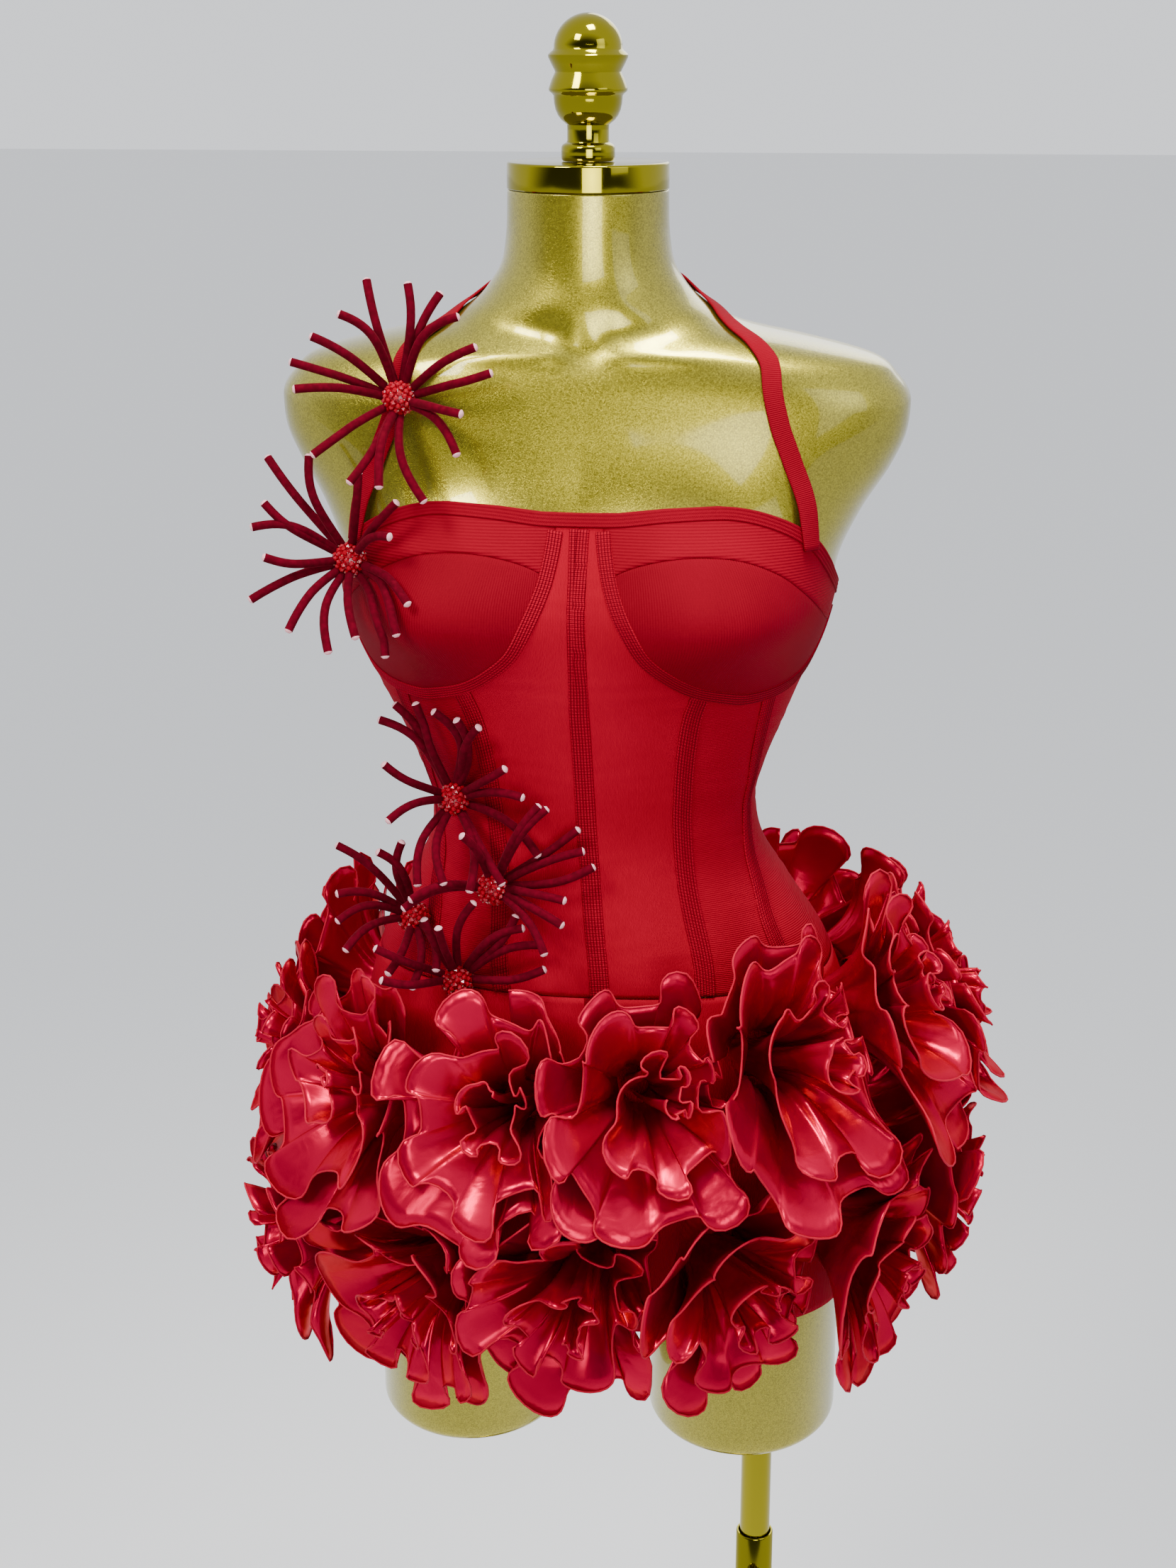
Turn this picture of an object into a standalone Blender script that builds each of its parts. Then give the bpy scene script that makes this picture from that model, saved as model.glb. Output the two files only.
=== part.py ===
"""Bandage dress on a limbless dress form, with its stand. Metres, +Z up, +X to the viewer's right.

The origin is on the floor, on the underside of the base plate, below the centre line of the form. The front
of the dress faces -Y. Everything sewn or worn is worked out on one smooth torso surface, addressed by a
height z and an angle round the body, 0 at the centre front and positive towards +X.
"""

import itertools
import math

import bpy
import numpy as np

# Driving sizes of the cloth, in metres
SEAM = 0.0003
FORM_INSET = 0.0035
CLOTH_CLEAR = 0.0020
CLOTH_WALL = 0.0015
TRIM_CLEAR = 0.0009
TRIM_WALL = 0.0012
CHANNEL_WIDTH = 0.0125
WIRE_WIDTH = 0.0095
BINDING_WIDTH = 0.0090
STRAP_WIDTH = 0.0120
STRAP_CLEAR = 0.0024
PRINCESS_LIFT = 0.0005
PRINCESS_END = 0.0035
CHANNEL_END = 0.0006
BINDING_FOOT = BINDING_WIDTH + 0.0006
BACK_EASE = 1.5
PANEL_BOTTOM = 0.985
SKIRT_TOP = 0.9844
SKIRT_HEM = 0.742
SKIRT_COLUMNS = 32
ZIP_HALF_GAP = 0.0020
ZIP_TAPE_WIDTH = 0.022
ZIP_TAPE_WALL = 0.0010
ZIP_SLIDER_Z = 1.1860
RUFFLE_WALL = 0.0016
ROSETTE_CLEAR = 0.0010
SIDE_ROSETTE_CLEAR = 0.0004
ROW_SPLIT = 0.872
RUFFLE_TURNS = 1.9
RUFFLE_CROWDING = 0.83
RUFFLE_HEIGHT = 1.20
COLUMNS_PER_WAVE = 4
NEIGHBOUR_REACH = 0.21
NEIGHBOUR_ROOM = 0.013
STRAND_RADIUS = 0.0029
BEAD_RADIUS = 0.0105
HEAD_SINK = 0.0009

# Driving sizes of the stand
NECK_TOP = 1.4834
CAP_RADIUS = 0.0502
CAP_TOP = 1.500
THIGH_BOTTOM = 0.634
POLE_X = 0.123
POLE_Y = 0.013
POLE_UPPER_RADIUS = 0.0110
POLE_UPPER_BOTTOM = 0.260
POLE_LOWER_RADIUS = 0.0135
POLE_LOWER_BORE = 0.0116
POLE_LOWER_TOP = 0.516
BASE_X = 0.060
BASE_RADIUS = 0.200
BASE_THICK = 0.008
KNOB_Z = 0.482

# The outline of the clothed torso: height, half width, depth in front, depth behind, sideways drift of the
# centre and squareness, 2 for an ellipse
SECTIONS = [
    (1.4834, 0.0500, 0.048, 0.052, 0.000, 2.00),
    (1.4560, 0.0510, 0.050, 0.054, 0.000, 2.00),
    (1.4320, 0.0580, 0.053, 0.060, 0.000, 2.00),
    (1.4140, 0.0760, 0.057, 0.066, 0.001, 2.00),
    (1.4020, 0.1020, 0.059, 0.070, 0.002, 2.10),
    (1.3940, 0.1400, 0.061, 0.074, 0.003, 2.20),
    (1.3850, 0.1740, 0.064, 0.078, 0.004, 2.30),
    (1.3720, 0.1910, 0.068, 0.082, 0.004, 2.40),
    (1.3560, 0.1990, 0.072, 0.086, 0.004, 2.40),
    (1.3380, 0.1980, 0.077, 0.089, 0.004, 2.40),
    (1.3180, 0.1910, 0.083, 0.092, 0.004, 2.40),
    (1.2900, 0.1750, 0.091, 0.094, 0.003, 2.40),
    (1.2600, 0.1620, 0.098, 0.094, 0.002, 2.40),
    (1.2350, 0.1585, 0.101, 0.092, 0.001, 2.40),
    (1.2100, 0.1520, 0.099, 0.088, 0.001, 2.35),
    (1.1800, 0.1400, 0.095, 0.082, 0.001, 2.30),
    (1.1500, 0.1270, 0.090, 0.075, 0.002, 2.25),
    (1.1200, 0.1150, 0.086, 0.070, 0.003, 2.20),
    (1.0950, 0.1080, 0.084, 0.068, 0.004, 2.20),
    (1.0650, 0.1120, 0.086, 0.072, 0.006, 2.20),
    (1.0350, 0.1280, 0.091, 0.084, 0.008, 2.20),
    (1.0000, 0.1480, 0.097, 0.100, 0.011, 2.25),
    (0.9600, 0.1620, 0.102, 0.116, 0.013, 2.30),
    (0.9100, 0.1700, 0.104, 0.127, 0.014, 2.35),
    (0.8600, 0.1710, 0.102, 0.124, 0.014, 2.40),
    (0.8000, 0.1700, 0.099, 0.114, 0.014, 2.40),
    (0.7400, 0.1680, 0.096, 0.108, 0.014, 2.40),
    (0.6900, 0.1660, 0.094, 0.104, 0.014, 2.40),
]

# The fullness of each cup: angle from the centre front, height, how far it stands out and how far it spreads
CUP_ANGLE = 38.0
CUP_HEIGHT = 1.232
CUP_RISE = 0.034
CUP_SPREAD_SIDE = 0.050
CUP_SPREAD_UP = 0.052
CUP_SPREAD_DOWN = 0.036
CUP_ARC = 0.115

# Mean distance round the body for one radian
BODY_ARC = 0.12

# Seam lines of the right half as (angle in degrees, height)
TOP_LINE = [
    (0, 1.2980), (15, 1.2985), (30, 1.3015), (45, 1.3030), (52, 1.3005), (58, 1.2945), (64, 1.2845),
    (71, 1.2670), (77, 1.2540), (84, 1.2450), (95, 1.2380), (115, 1.2230), (145, 1.2080), (180, 1.2030),
]
WIRE_LINE = [
    (9.0, 1.2985), (9.8, 1.2750), (11.8, 1.2535), (16.0, 1.2310), (20.5, 1.2150), (27.5, 1.2025),
    (36.0, 1.1920), (46.0, 1.1850), (55.0, 1.1810), (64.0, 1.1820), (73.0, 1.1870), (80.0, 1.1965),
    (84.5, 1.2110), (87.0, 1.2280), (87.5, 1.2430),
]
BAND_LINE = [
    (11.0, 1.2610), (17.0, 1.2670), (23.0, 1.2710), (29.0, 1.2735), (35.0, 1.2745), (45.5, 1.2715),
    (54.0, 1.2620), (61.0, 1.2490), (69.0, 1.2350), (77.0, 1.2240), (85.6, 1.2180),
]
PRINCESS_LINE = [(39.4, 1.1894), (39.4, 1.150), (40.0, 1.100), (38.2, 1.050), (37.0, 1.000), (36.0, 0.985)]
SIDE_LINE = [(63.0, 1.1818), (67.0, 1.145), (72.5, 1.100), (68.0, 1.060), (62.5, 1.025), (61.0, 0.985)]
STRAP_LINE = [
    (65.2, 1.2740), (64.5, 1.3000), (62.5, 1.3300), (61.7, 1.3500), (62.8, 1.3750), (67.0, 1.3930),
    (78.0, 1.4060), (93.0, 1.4150), (110.0, 1.4230), (135.0, 1.4290), (160.0, 1.4320), (180.0, 1.4330),
]

# Ruffle rosettes: angle round the hips in degrees, height of the face, start of its spiral in degrees, size
# and number of waves
ROSETTES = [
    ("ruffle_upper_01", 10, 0.945, 200, 1.00, 6),
    ("ruffle_upper_02", 37, 0.968, 100, 1.10, 6),
    ("ruffle_upper_03", 66, 0.985, 330, 1.00, 6),
    ("ruffle_upper_04", 94, 0.972, 60, 1.00, 6),
    ("ruffle_upper_05", 119, 0.966, 240, 1.00, 5),
    ("ruffle_upper_06", 144, 0.968, 20, 1.00, 5),
    ("ruffle_upper_07", 168, 0.950, 150, 0.95, 5),
    ("ruffle_upper_08", -166, 0.946, 290, 0.95, 5),
    ("ruffle_upper_09", -140, 0.944, 80, 1.00, 5),
    ("ruffle_upper_10", -112, 0.940, 210, 1.00, 5),
    ("ruffle_upper_11", -80, 0.910, 330, 0.97, 6),
    ("ruffle_upper_12", -46, 0.918, 130, 1.06, 6),
    ("ruffle_upper_13", -15, 0.930, 20, 1.04, 6),
    ("ruffle_lower_01", 0, 0.795, 160, 1.02, 6),
    ("ruffle_lower_02", 25, 0.800, 300, 0.98, 6),
    ("ruffle_lower_03", 57, 0.802, 40, 1.06, 6),
    ("ruffle_lower_04", 88, 0.828, 190, 0.98, 6),
    ("ruffle_lower_05", 118, 0.815, 90, 1.02, 5),
    ("ruffle_lower_06", 149, 0.805, 320, 1.02, 5),
    ("ruffle_lower_07", 180, 0.800, 230, 1.00, 5),
    ("ruffle_lower_08", -149, 0.794, 20, 1.02, 5),
    ("ruffle_lower_09", -112, 0.782, 140, 1.05, 5),
    ("ruffle_lower_10", -74, 0.765, 60, 1.00, 6),
    ("ruffle_lower_11", -31, 0.777, 350, 1.06, 6),
]

# The faces of the rosettes lie on this oval round the hips
FACE_CENTRE_X = 0.016
FACE_SIDE = 0.232
FACE_FRONT = 0.165
FACE_BACK = 0.190

# How far out the head of a flower is seated: on a panel, on a channel, or on the strap
ON_PANEL = CLOTH_CLEAR + CLOTH_WALL
ON_CHANNEL = ON_PANEL + TRIM_CLEAR + TRIM_WALL
ON_STRAP = STRAP_CLEAR + TRIM_WALL

# Fringe flowers: angle round the body, height, what is under the head, and the strands as (direction on the
# clock face in degrees from the right, reach across the view in metres)
FLOWERS = [
    ("flower_shoulder", -59.9, 1.361, ON_STRAP - HEAD_SINK, [
        (-145, 0.060), (-117, 0.060), (-100, 0.055), (-75, 0.064), (-45, 0.052), (-20, 0.042), (12, 0.058),
        (30, 0.055), (52, 0.060), (68, 0.069), (84, 0.066), (105, 0.072), (125, 0.058), (144, 0.062),
        (162, 0.066), (178, 0.060)]),
    ("flower_bust", -60.0, 1.262, ON_PANEL, [
        (-158, 0.062), (-128, 0.055), (-100, 0.058), (-82, 0.050), (-68, 0.064), (-50, 0.058), (-32, 0.050),
        (20, 0.030), (45, 0.045), (80, 0.050), (110, 0.066), (128, 0.080), (145, 0.060), (160, 0.060),
        (178, 0.048)]),
    ("flower_under_bust", -49.5, 1.112, ON_PANEL, [
        (-165, 0.040), (-112, 0.056), (-95, 0.052), (-78, 0.056), (-58, 0.060), (-32, 0.064), (5, 0.045),
        (32, 0.040), (60, 0.062), (76, 0.058), (92, 0.060), (106, 0.064), (118, 0.072), (131, 0.070),
        (150, 0.048)]),
    ("flower_waist", -34.7, 1.052, ON_CHANNEL, [
        (-48, 0.050), (-22, 0.048), (-3, 0.046), (14, 0.066), (26, 0.064), (38, 0.070), (57, 0.064),
        (78, 0.064), (100, 0.040), (170, 0.050), (-172, 0.055)]),
    ("flower_side_waist", -61.0, 1.020, ON_CHANNEL - HEAD_SINK, [
        (-112, 0.036), (-88, 0.040), (-60, 0.034), (96, 0.050), (115, 0.048), (135, 0.068), (158, 0.050),
        (178, 0.046), (-158, 0.044)]),
    ("flower_hip", -44.4, 0.990, ON_PANEL, [
        (12, 0.058), (26, 0.060), (42, 0.058), (58, 0.060), (77, 0.054), (104, 0.040), (130, 0.046),
        (153, 0.056), (172, 0.046)]),
]
STRAND_LENGTH = 0.074
STRAND_LIFTS = (0, 0.006, 0.012, 0.018, 0.025, 0.032)
STRAND_BENDS = (0, 8, -8, 16, -16)
STRAND_STEPS = 2
STRAND_SIDES = 3

# The way the flowers look: towards the front, turned a little to +X and tipped up
VIEW_RIGHT = np.array([0.9945, 0.1045, 0.0])
VIEW_OUT = np.array([0.0995, -0.9464, 0.3074])
VIEW_UP = np.cross(VIEW_OUT, VIEW_RIGHT)

# Heights of the rings of the form, from the neck down
FORM_HEIGHTS = [
    1.4834, 1.450, 1.428, 1.412, 1.401, 1.393, 1.383, 1.369, 1.352, 1.328, 1.300, 1.278, 1.256, 1.236,
    1.218, 1.200, 1.182, 1.155, 1.125, 1.102, 1.082, 1.062, 1.042, 1.016, 0.985, 0.945, 0.900, 0.850, 0.800,
]
FORM_COLUMNS = 24
# Below this height the form is drawn in a little under the cloth, whose facets cut the corners
CLOTHED_BELOW = 1.34
DRAWN_IN = 0.0008
# The stumps of the thighs: height, half width, half depth
THIGHS = [
    (0.870, 0.058, 0.070), (0.800, 0.0655, 0.0770), (0.735, 0.0665, 0.0780), (0.6375, 0.0665, 0.0775),
    (THIGH_BOTTOM, 0.0635, 0.0745),
]
# The finial from its dome down to its foot: radius, height
FINIAL = [
    (0, 1.5870), (0.0080, 1.5855), (0.0150, 1.5802), (0.0195, 1.5735), (0.0210, 1.5664), (0.0245, 1.5620),
    (0.0203, 1.5527), (0.0240, 1.5437), (0.0240, 1.5414), (0.0211, 1.5375), (0.0200, 1.5312), (0.0165, 1.5250),
    (0.0129, 1.5217), (0.0129, 1.5115), (0.0166, 1.5084), (0.0166, CAP_TOP + SEAM), (0, CAP_TOP + SEAM),
]


def smooth_table(xs, ys, x):
    """A curve through a table's points that doesn't swing past them."""
    xs = np.asarray(xs, float)
    ys = np.asarray(ys, float)
    x = np.clip(np.asarray(x, float), xs[0], xs[-1])
    h = np.diff(xs)
    d = np.diff(ys) / h
    m = np.zeros_like(ys)
    mean = (h[1:] * d[:-1] + h[:-1] * d[1:]) / (h[1:] + h[:-1])
    limit = 3 * np.minimum(np.abs(d[:-1]), np.abs(d[1:]))
    m[1:-1] = np.where(d[:-1] * d[1:] > 0, np.sign(d[:-1]) * np.minimum(np.abs(mean), limit), 0)
    m[0] = d[0]
    m[-1] = d[-1]
    i = np.clip(np.searchsorted(xs, x) - 1, 0, len(h) - 1)
    t = (x - xs[i]) / h[i]
    first = (1 + 2 * t) * (1 - t) ** 2 * ys[i] + t * (1 - t) ** 2 * h[i] * m[i]
    return first + t * t * (3 - 2 * t) * ys[i + 1] + t * t * (t - 1) * h[i] * m[i + 1]


RISING = np.array(SECTIONS)[::-1]


def section(column, z):
    return smooth_table(RISING[:, 0], RISING[:, column], z)


def wrapped(phi):
    return (phi + math.pi) % (2 * math.pi) - math.pi


def torso_radius(z, phi):
    """Distance of the form's surface from its centre line."""
    z = np.asarray(z, float)
    phi = wrapped(np.asarray(phi, float))
    depth = np.where(np.cos(phi) > 0, section(2, z), section(3, z))
    power = section(5, z)
    sideways = (np.abs(np.sin(phi)) / section(1, z)) ** power
    forwards = (np.abs(np.cos(phi)) / depth) ** power
    r = (sideways + forwards) ** (-1 / power)
    along = (np.abs(phi) - math.radians(CUP_ANGLE)) * CUP_ARC / CUP_SPREAD_SIDE
    up = z - CUP_HEIGHT
    down = up / np.where(up > 0, CUP_SPREAD_UP, CUP_SPREAD_DOWN)
    r = r + CUP_RISE * np.exp(-along ** 2 - down ** 2)
    under_cloth = np.clip((1.36 - z) / 0.06, 0, 1)
    return r - FORM_INSET * under_cloth * under_cloth * (3 - 2 * under_cloth)


def torso_point(z, phi):
    z, phi = np.broadcast_arrays(np.asarray(z, float), np.asarray(phi, float))
    r = torso_radius(z, phi)
    return np.stack([section(4, z) + r * np.sin(phi), -r * np.cos(phi), z], -1)


def torso_normal(z, phi):
    z, phi = np.broadcast_arrays(np.asarray(z, float), np.asarray(phi, float))
    step = 5e-4
    round_body = torso_point(z, phi + step) - torso_point(z, phi - step)
    up_body = torso_point(z + step, phi) - torso_point(z - step, phi)
    n = np.cross(round_body, up_body)
    return n / np.linalg.norm(n, axis=-1, keepdims=True)


def skin(z, phi, off):
    """A point this far out from the form's surface."""
    return torso_point(z, phi) + np.asarray(off)[..., None] * torso_normal(z, phi)


def clearance(points):
    """How far each point lies outside the form, measured level."""
    x = points[..., 0] - section(4, points[..., 2])
    y = points[..., 1]
    phi = np.arctan2(x, -y)
    return np.hypot(x, y) - torso_radius(points[..., 2], phi), phi


def pushed_out(points, least):
    """The points, moved level and outwards where they lie closer to the form than this."""
    gap, phi = clearance(points)
    need = np.maximum(least - gap, 0)
    moved = points.copy()
    moved[..., 0] += need * np.sin(phi)
    moved[..., 1] -= need * np.cos(phi)
    return moved


def twist(z):
    """The garment sits a little turned on the form, and more so lower down."""
    return np.radians(0.8 + (1.298 - np.asarray(z, float)) * 9.0)


def top_height(phi):
    """Height of the dress's top edge at these angles."""
    return np.interp(np.abs(phi), np.radians([angle for angle, _ in TOP_LINE]), [z for _, z in TOP_LINE])


def run_length(line):
    """How far along the body each point of a line of (height, angle) lies."""
    metric = np.stack([line[:, 0], line[:, 1] * BODY_ARC], -1)
    return np.concatenate([[0], np.cumsum(np.linalg.norm(np.diff(metric, axis=0), axis=1))])


def nearest_on(line, point):
    """The place on a line of (height, angle) that lies nearest to a point."""
    return int(np.argmin(np.hypot(line[:, 0] - point[0], (line[:, 1] - point[1]) * BODY_ARC)))


def on_line(table, count, side):
    """Evenly spaced points along a seam line of one half, as an array of (height, angle)."""
    line = np.array([(z, math.radians(a)) for a, z in table])
    run = run_length(line)
    at = np.linspace(0, run[-1], count)
    z = smooth_table(run, line[:, 0], at)
    phi = smooth_table(run, line[:, 1], at)
    return np.stack([z, side * phi], -1)


def resampled(line, count):
    run = run_length(line)
    at = np.linspace(0, run[-1], count)
    return np.stack([np.interp(at, run, line[:, 0]), np.interp(at, run, line[:, 1])], -1)


def ruled(first, second, columns):
    """A grid of (height, angle) between two lines with as many points each."""
    t = np.linspace(0, 1, columns)[None, :, None]
    return first[:, None] * (1 - t) + second[:, None] * t


def trimmed(grid, gap):
    """The grid with each of its four edges drawn in by this much, to leave room at the seams."""
    grid = grid.copy()
    for _ in range(2):
        for edge, inner in ((0, 1), (-1, -2)):
            step = grid[inner] - grid[edge]
            length = np.hypot(step[:, 0], step[:, 1] * 0.11)[:, None]
            grid[edge] += step * np.minimum(gap / np.maximum(length, 1e-9), 0.6)
        grid = grid.transpose(1, 0, 2).copy()
    return grid


def ended(line, first, last):
    """The line, cut off where it rises past a height at its start and at its end."""
    for limit in (first, last):
        keep = 0
        while line[keep, 0] > limit:
            keep += 1
        if keep:
            share = (limit - line[keep, 0]) / (line[keep - 1, 0] - line[keep, 0])
            cut = line[keep] + share * (line[keep - 1] - line[keep])
            line = np.concatenate([[cut], line[keep + (share < 0.3):]])
        line = line[::-1]
    return line


def strip(line, width, columns=3):
    """A grid that follows a line, this wide on the surface."""
    z = line[:, 0]
    phi = line[:, 1]
    at = torso_point(z, phi)
    run = np.gradient(at, axis=0)
    run /= np.linalg.norm(run, axis=1, keepdims=True)
    across = np.cross(torso_normal(z, phi), run)
    step = 5e-4
    by_z = (torso_point(z + step, phi) - torso_point(z - step, phi)) / (2 * step)
    by_phi = (torso_point(z, phi + step) - torso_point(z, phi - step)) / (2 * step)
    a = (by_z * by_z).sum(1)
    b = (by_z * by_phi).sum(1)
    c = (by_phi * by_phi).sum(1)
    p = (across * by_z).sum(1)
    q = (across * by_phi).sum(1)
    det = a * c - b * b
    d = np.stack([(c * p - b * q) / det, (a * q - b * p) / det], -1)
    return np.stack([line + d * width * share for share in np.linspace(-0.5, 0.5, columns)], 1)


def material(name, colour, rough, metal=0.0):
    made = bpy.data.materials.new(name)
    made.use_nodes = True
    shader = made.node_tree.nodes["Principled BSDF"]
    shader.inputs["Base Color"].default_value = (*colour, 1)
    shader.inputs["Roughness"].default_value = rough
    shader.inputs["Metallic"].default_value = metal
    return made


def solid(name, points, faces, look, smooth=True):
    """A mesh object whose faces point out."""
    points = np.asarray(points, float)
    volume = 0.0
    for face in faces:
        corner = points[face[0]]
        for k in range(1, len(face) - 1):
            volume += np.dot(corner, np.cross(points[face[k]], points[face[k + 1]]))
    if volume < 0:
        faces = [tuple(reversed(face)) for face in faces]
    mesh = bpy.data.meshes.new(name)
    mesh.from_pydata([tuple(p) for p in points], [], [tuple(int(i) for i in face) for face in faces])
    mesh.validate()
    if smooth:
        mesh.shade_smooth()
    mesh.materials.append(look)
    made = bpy.data.objects.new(name, mesh)
    bpy.context.scene.collection.objects.link(made)
    return made


def split_outwards(outer, a, b, c, d):
    """True where the first diagonal of a cell lies further from the body's axis than the second."""
    first = (outer[a] + outer[c])[:2]
    second = (outer[b] + outer[d])[:2]
    return first @ first > second @ second


def split_short(outer, a, b, c, d):
    """True where the first diagonal of a cell is the shorter one."""
    return np.linalg.norm(outer[a] - outer[c]) < np.linalg.norm(outer[b] - outer[d])


def wall(name, outer, inner, look, closed=False, split=split_outwards):
    """A wall between two grids of points, closed round its edges or, on a tube, round its rims.

    Each cell is split along the same diagonal on both faces, so that a twisted cell keeps its thickness."""
    rows, columns = outer.shape[:2]
    points = np.concatenate([outer.reshape(-1, 3), inner.reshape(-1, 3)])
    behind = rows * columns
    faces = []
    last = columns if closed else columns - 1
    for i in range(rows - 1):
        for j in range(last):
            k = (j + 1) % columns
            a, b, c, d = i * columns + j, i * columns + k, (i + 1) * columns + k, (i + 1) * columns + j
            if split(points, a, b, c, d):
                halves = ((a, b, c), (a, c, d))
            else:
                halves = ((a, b, d), (b, c, d))
            for p, q, r in halves:
                faces.append((p, q, r))
                faces.append((behind + r, behind + q, behind + p))
    for j in range(last):
        k = (j + 1) % columns
        faces.append((behind + j, behind + k, k, j))
        low = (rows - 1) * columns
        faces.append((low + j, low + k, behind + low + k, behind + low + j))
    if not closed:
        for i in range(rows - 1):
            a, d = i * columns, (i + 1) * columns
            faces.append((a, d, behind + d, behind + a))
            b, c = a + columns - 1, d + columns - 1
            faces.append((behind + b, behind + c, c, b))
    return solid(name, points, faces, look)


def cloth(name, grid, look, low, thick, closed=False):
    """A piece of cloth that lies on the torso, from its grid of (height, angle)."""
    z = grid[..., 0]
    phi = grid[..., 1] + twist(z)
    outer = skin(z, phi, np.full(z.shape, low + thick))
    return wall(name, outer, skin(z, phi, np.full(z.shape, low)), look, closed)


def lathe(name, profile, sides, look, at=(0, 0, 0), smooth=True):
    """A turned solid from (radius, height) points. A profile that doesn't start on the axis is a ring."""
    points = []
    rings = []
    for radius, height in profile:
        if radius == 0:
            rings.append([len(points)])
            points.append((0, 0, height))
            continue
        rings.append(list(range(len(points), len(points) + sides)))
        for k in range(sides):
            angle = 2 * math.pi * k / sides
            points.append((radius * math.cos(angle), radius * math.sin(angle), height))
    faces = []
    pairs = list(zip(rings[:-1], rings[1:]))
    if profile[0][0] and profile[-1][0]:
        pairs.append((rings[-1], rings[0]))
    for first, second in pairs:
        for k in range(sides):
            n = (k + 1) % sides
            if len(first) == 1:
                faces.append((first[0], second[k], second[n]))
            elif len(second) == 1:
                faces.append((first[k], second[0], first[n]))
            else:
                faces.append((first[k], second[k], second[n], first[n]))
    made = solid(name, points, faces, look, smooth)
    made.location = at
    return made


def box(name, low, high, look):
    x0, y0, z0 = low
    x1, y1, z1 = high
    points = [
        (x0, y0, z0), (x1, y0, z0), (x1, y1, z0), (x0, y1, z0),
        (x0, y0, z1), (x1, y0, z1), (x1, y1, z1), (x0, y1, z1)]
    faces = [(0, 3, 2, 1), (4, 5, 6, 7), (0, 1, 5, 4), (1, 2, 6, 5), (2, 3, 7, 6), (3, 0, 4, 7)]
    return solid(name, points, faces, look, smooth=False)


def boolean(target, helper, operation):
    """Joins a helper to a piece, or cuts it from it. The helper itself is left out of the object."""
    change = target.modifiers.new(helper.name, "BOOLEAN")
    change.operation = operation
    change.object = helper
    helper.hide_render = True
    helper.display_type = "WIRE"


def rings_solid(name, rings, look):
    """A solid through closed rings of points, with a flat cap at each end."""
    count = len(rings[0])
    points = np.concatenate(rings)
    faces = []
    for i in range(len(rings) - 1):
        for j in range(count):
            k = (j + 1) % count
            faces.append((i * count + j, i * count + k, (i + 1) * count + k, (i + 1) * count + j))
    faces.append(tuple(range(count - 1, -1, -1)))
    faces.append(tuple(range((len(rings) - 1) * count, len(rings) * count)))
    return solid(name, points, faces, look)


def make_form(look):
    phi = np.linspace(0, 2 * math.pi, FORM_COLUMNS, endpoint=False)
    rings = []
    for z in FORM_HEIGHTS:
        drawn_in = DRAWN_IN if z < CLOTHED_BELOW else 0.0
        rings.append(skin(np.full(phi.shape, z), phi, np.full(phi.shape, -drawn_in)))
    last = rings[-1]
    middle = last.mean(0)
    for scale, drop in ((0.93, 0.014), (0.72, 0.024)):
        rings.append((last - middle) * scale + middle - np.array([0, 0, drop]))
    torso = rings_solid("form_body", rings, look)
    for side in (-1, 1):
        rings = []
        around = np.linspace(0, 2 * math.pi, 16, endpoint=False)
        for z, half, deep in THIGHS:
            middle = 0.0145 + side * (0.0965 - max(z - 0.80, 0) * 0.15)
            x = middle + half * np.sin(around)
            rings.append(np.stack([x, 0.003 - deep * np.cos(around), np.full_like(around, z)], -1))
        thigh = rings_solid("thigh_right" if side > 0 else "thigh_left", rings, look)
        boolean(torso, thigh, "UNION")


def make_stand(gold):
    lathe("neck_cap", [
        (0, CAP_TOP), (CAP_RADIUS - 0.0015, CAP_TOP), (CAP_RADIUS, CAP_TOP - 0.0015),
        (CAP_RADIUS, NECK_TOP + SEAM), (0, NECK_TOP + SEAM)], 24, gold)
    lathe("finial", FINIAL, 14, gold)
    at_pole = (POLE_X, POLE_Y, 0)
    top = THIGH_BOTTOM - SEAM
    lathe("pole_upper", [
        (0, top), (POLE_UPPER_RADIUS, top), (POLE_UPPER_RADIUS, POLE_UPPER_BOTTOM), (0, POLE_UPPER_BOTTOM)],
        20, gold, at_pole)
    low = BASE_THICK + SEAM
    lip = POLE_LOWER_TOP - 0.0008
    lower = lathe("pole_lower", [
        (POLE_LOWER_RADIUS, lip), (POLE_LOWER_RADIUS, low), (POLE_LOWER_BORE, low), (POLE_LOWER_BORE, lip),
        (POLE_LOWER_BORE + 0.0004, POLE_LOWER_TOP), (POLE_LOWER_RADIUS - 0.0006, POLE_LOWER_TOP)],
        16, gold, at_pole)
    # The lock knob screws into a boss on the front of the lower tube
    at_knob = (POLE_X, POLE_Y, KNOB_Z)
    boss = lathe("knob_boss", [
        (0, 0.0195), (0.0065, 0.0195), (0.0065, 0.0124), (0, 0.0124)], 12, gold, at_knob)
    hole = lathe("knob_hole", [
        (0, 0.0210), (0.0034, 0.0210), (0.0034, 0.0140), (0, 0.0140)], 12, gold, at_knob)
    boolean(lower, boss, "UNION")
    boolean(lower, hole, "DIFFERENCE")
    knob = lathe("lock_knob", [
        (0, 0.0325), (0.0110, 0.0325), (0.0140, 0.0305), (0.0140, 0.0225), (0.0120, 0.0203), (0.0060, 0.0198),
        (0.0030, 0.0198), (0.0030, 0.0145), (0, 0.0145)], 12, gold, at_knob)
    for piece in (boss, hole, knob):
        piece.rotation_euler = (math.pi / 2, 0, 0)
    lathe("base_plate", [
        (0, BASE_THICK), (BASE_RADIUS - 0.0025, BASE_THICK), (BASE_RADIUS, BASE_THICK - 0.0025),
        (BASE_RADIUS, 0), (0, 0)], 32, gold, (BASE_X, 0, 0))


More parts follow.
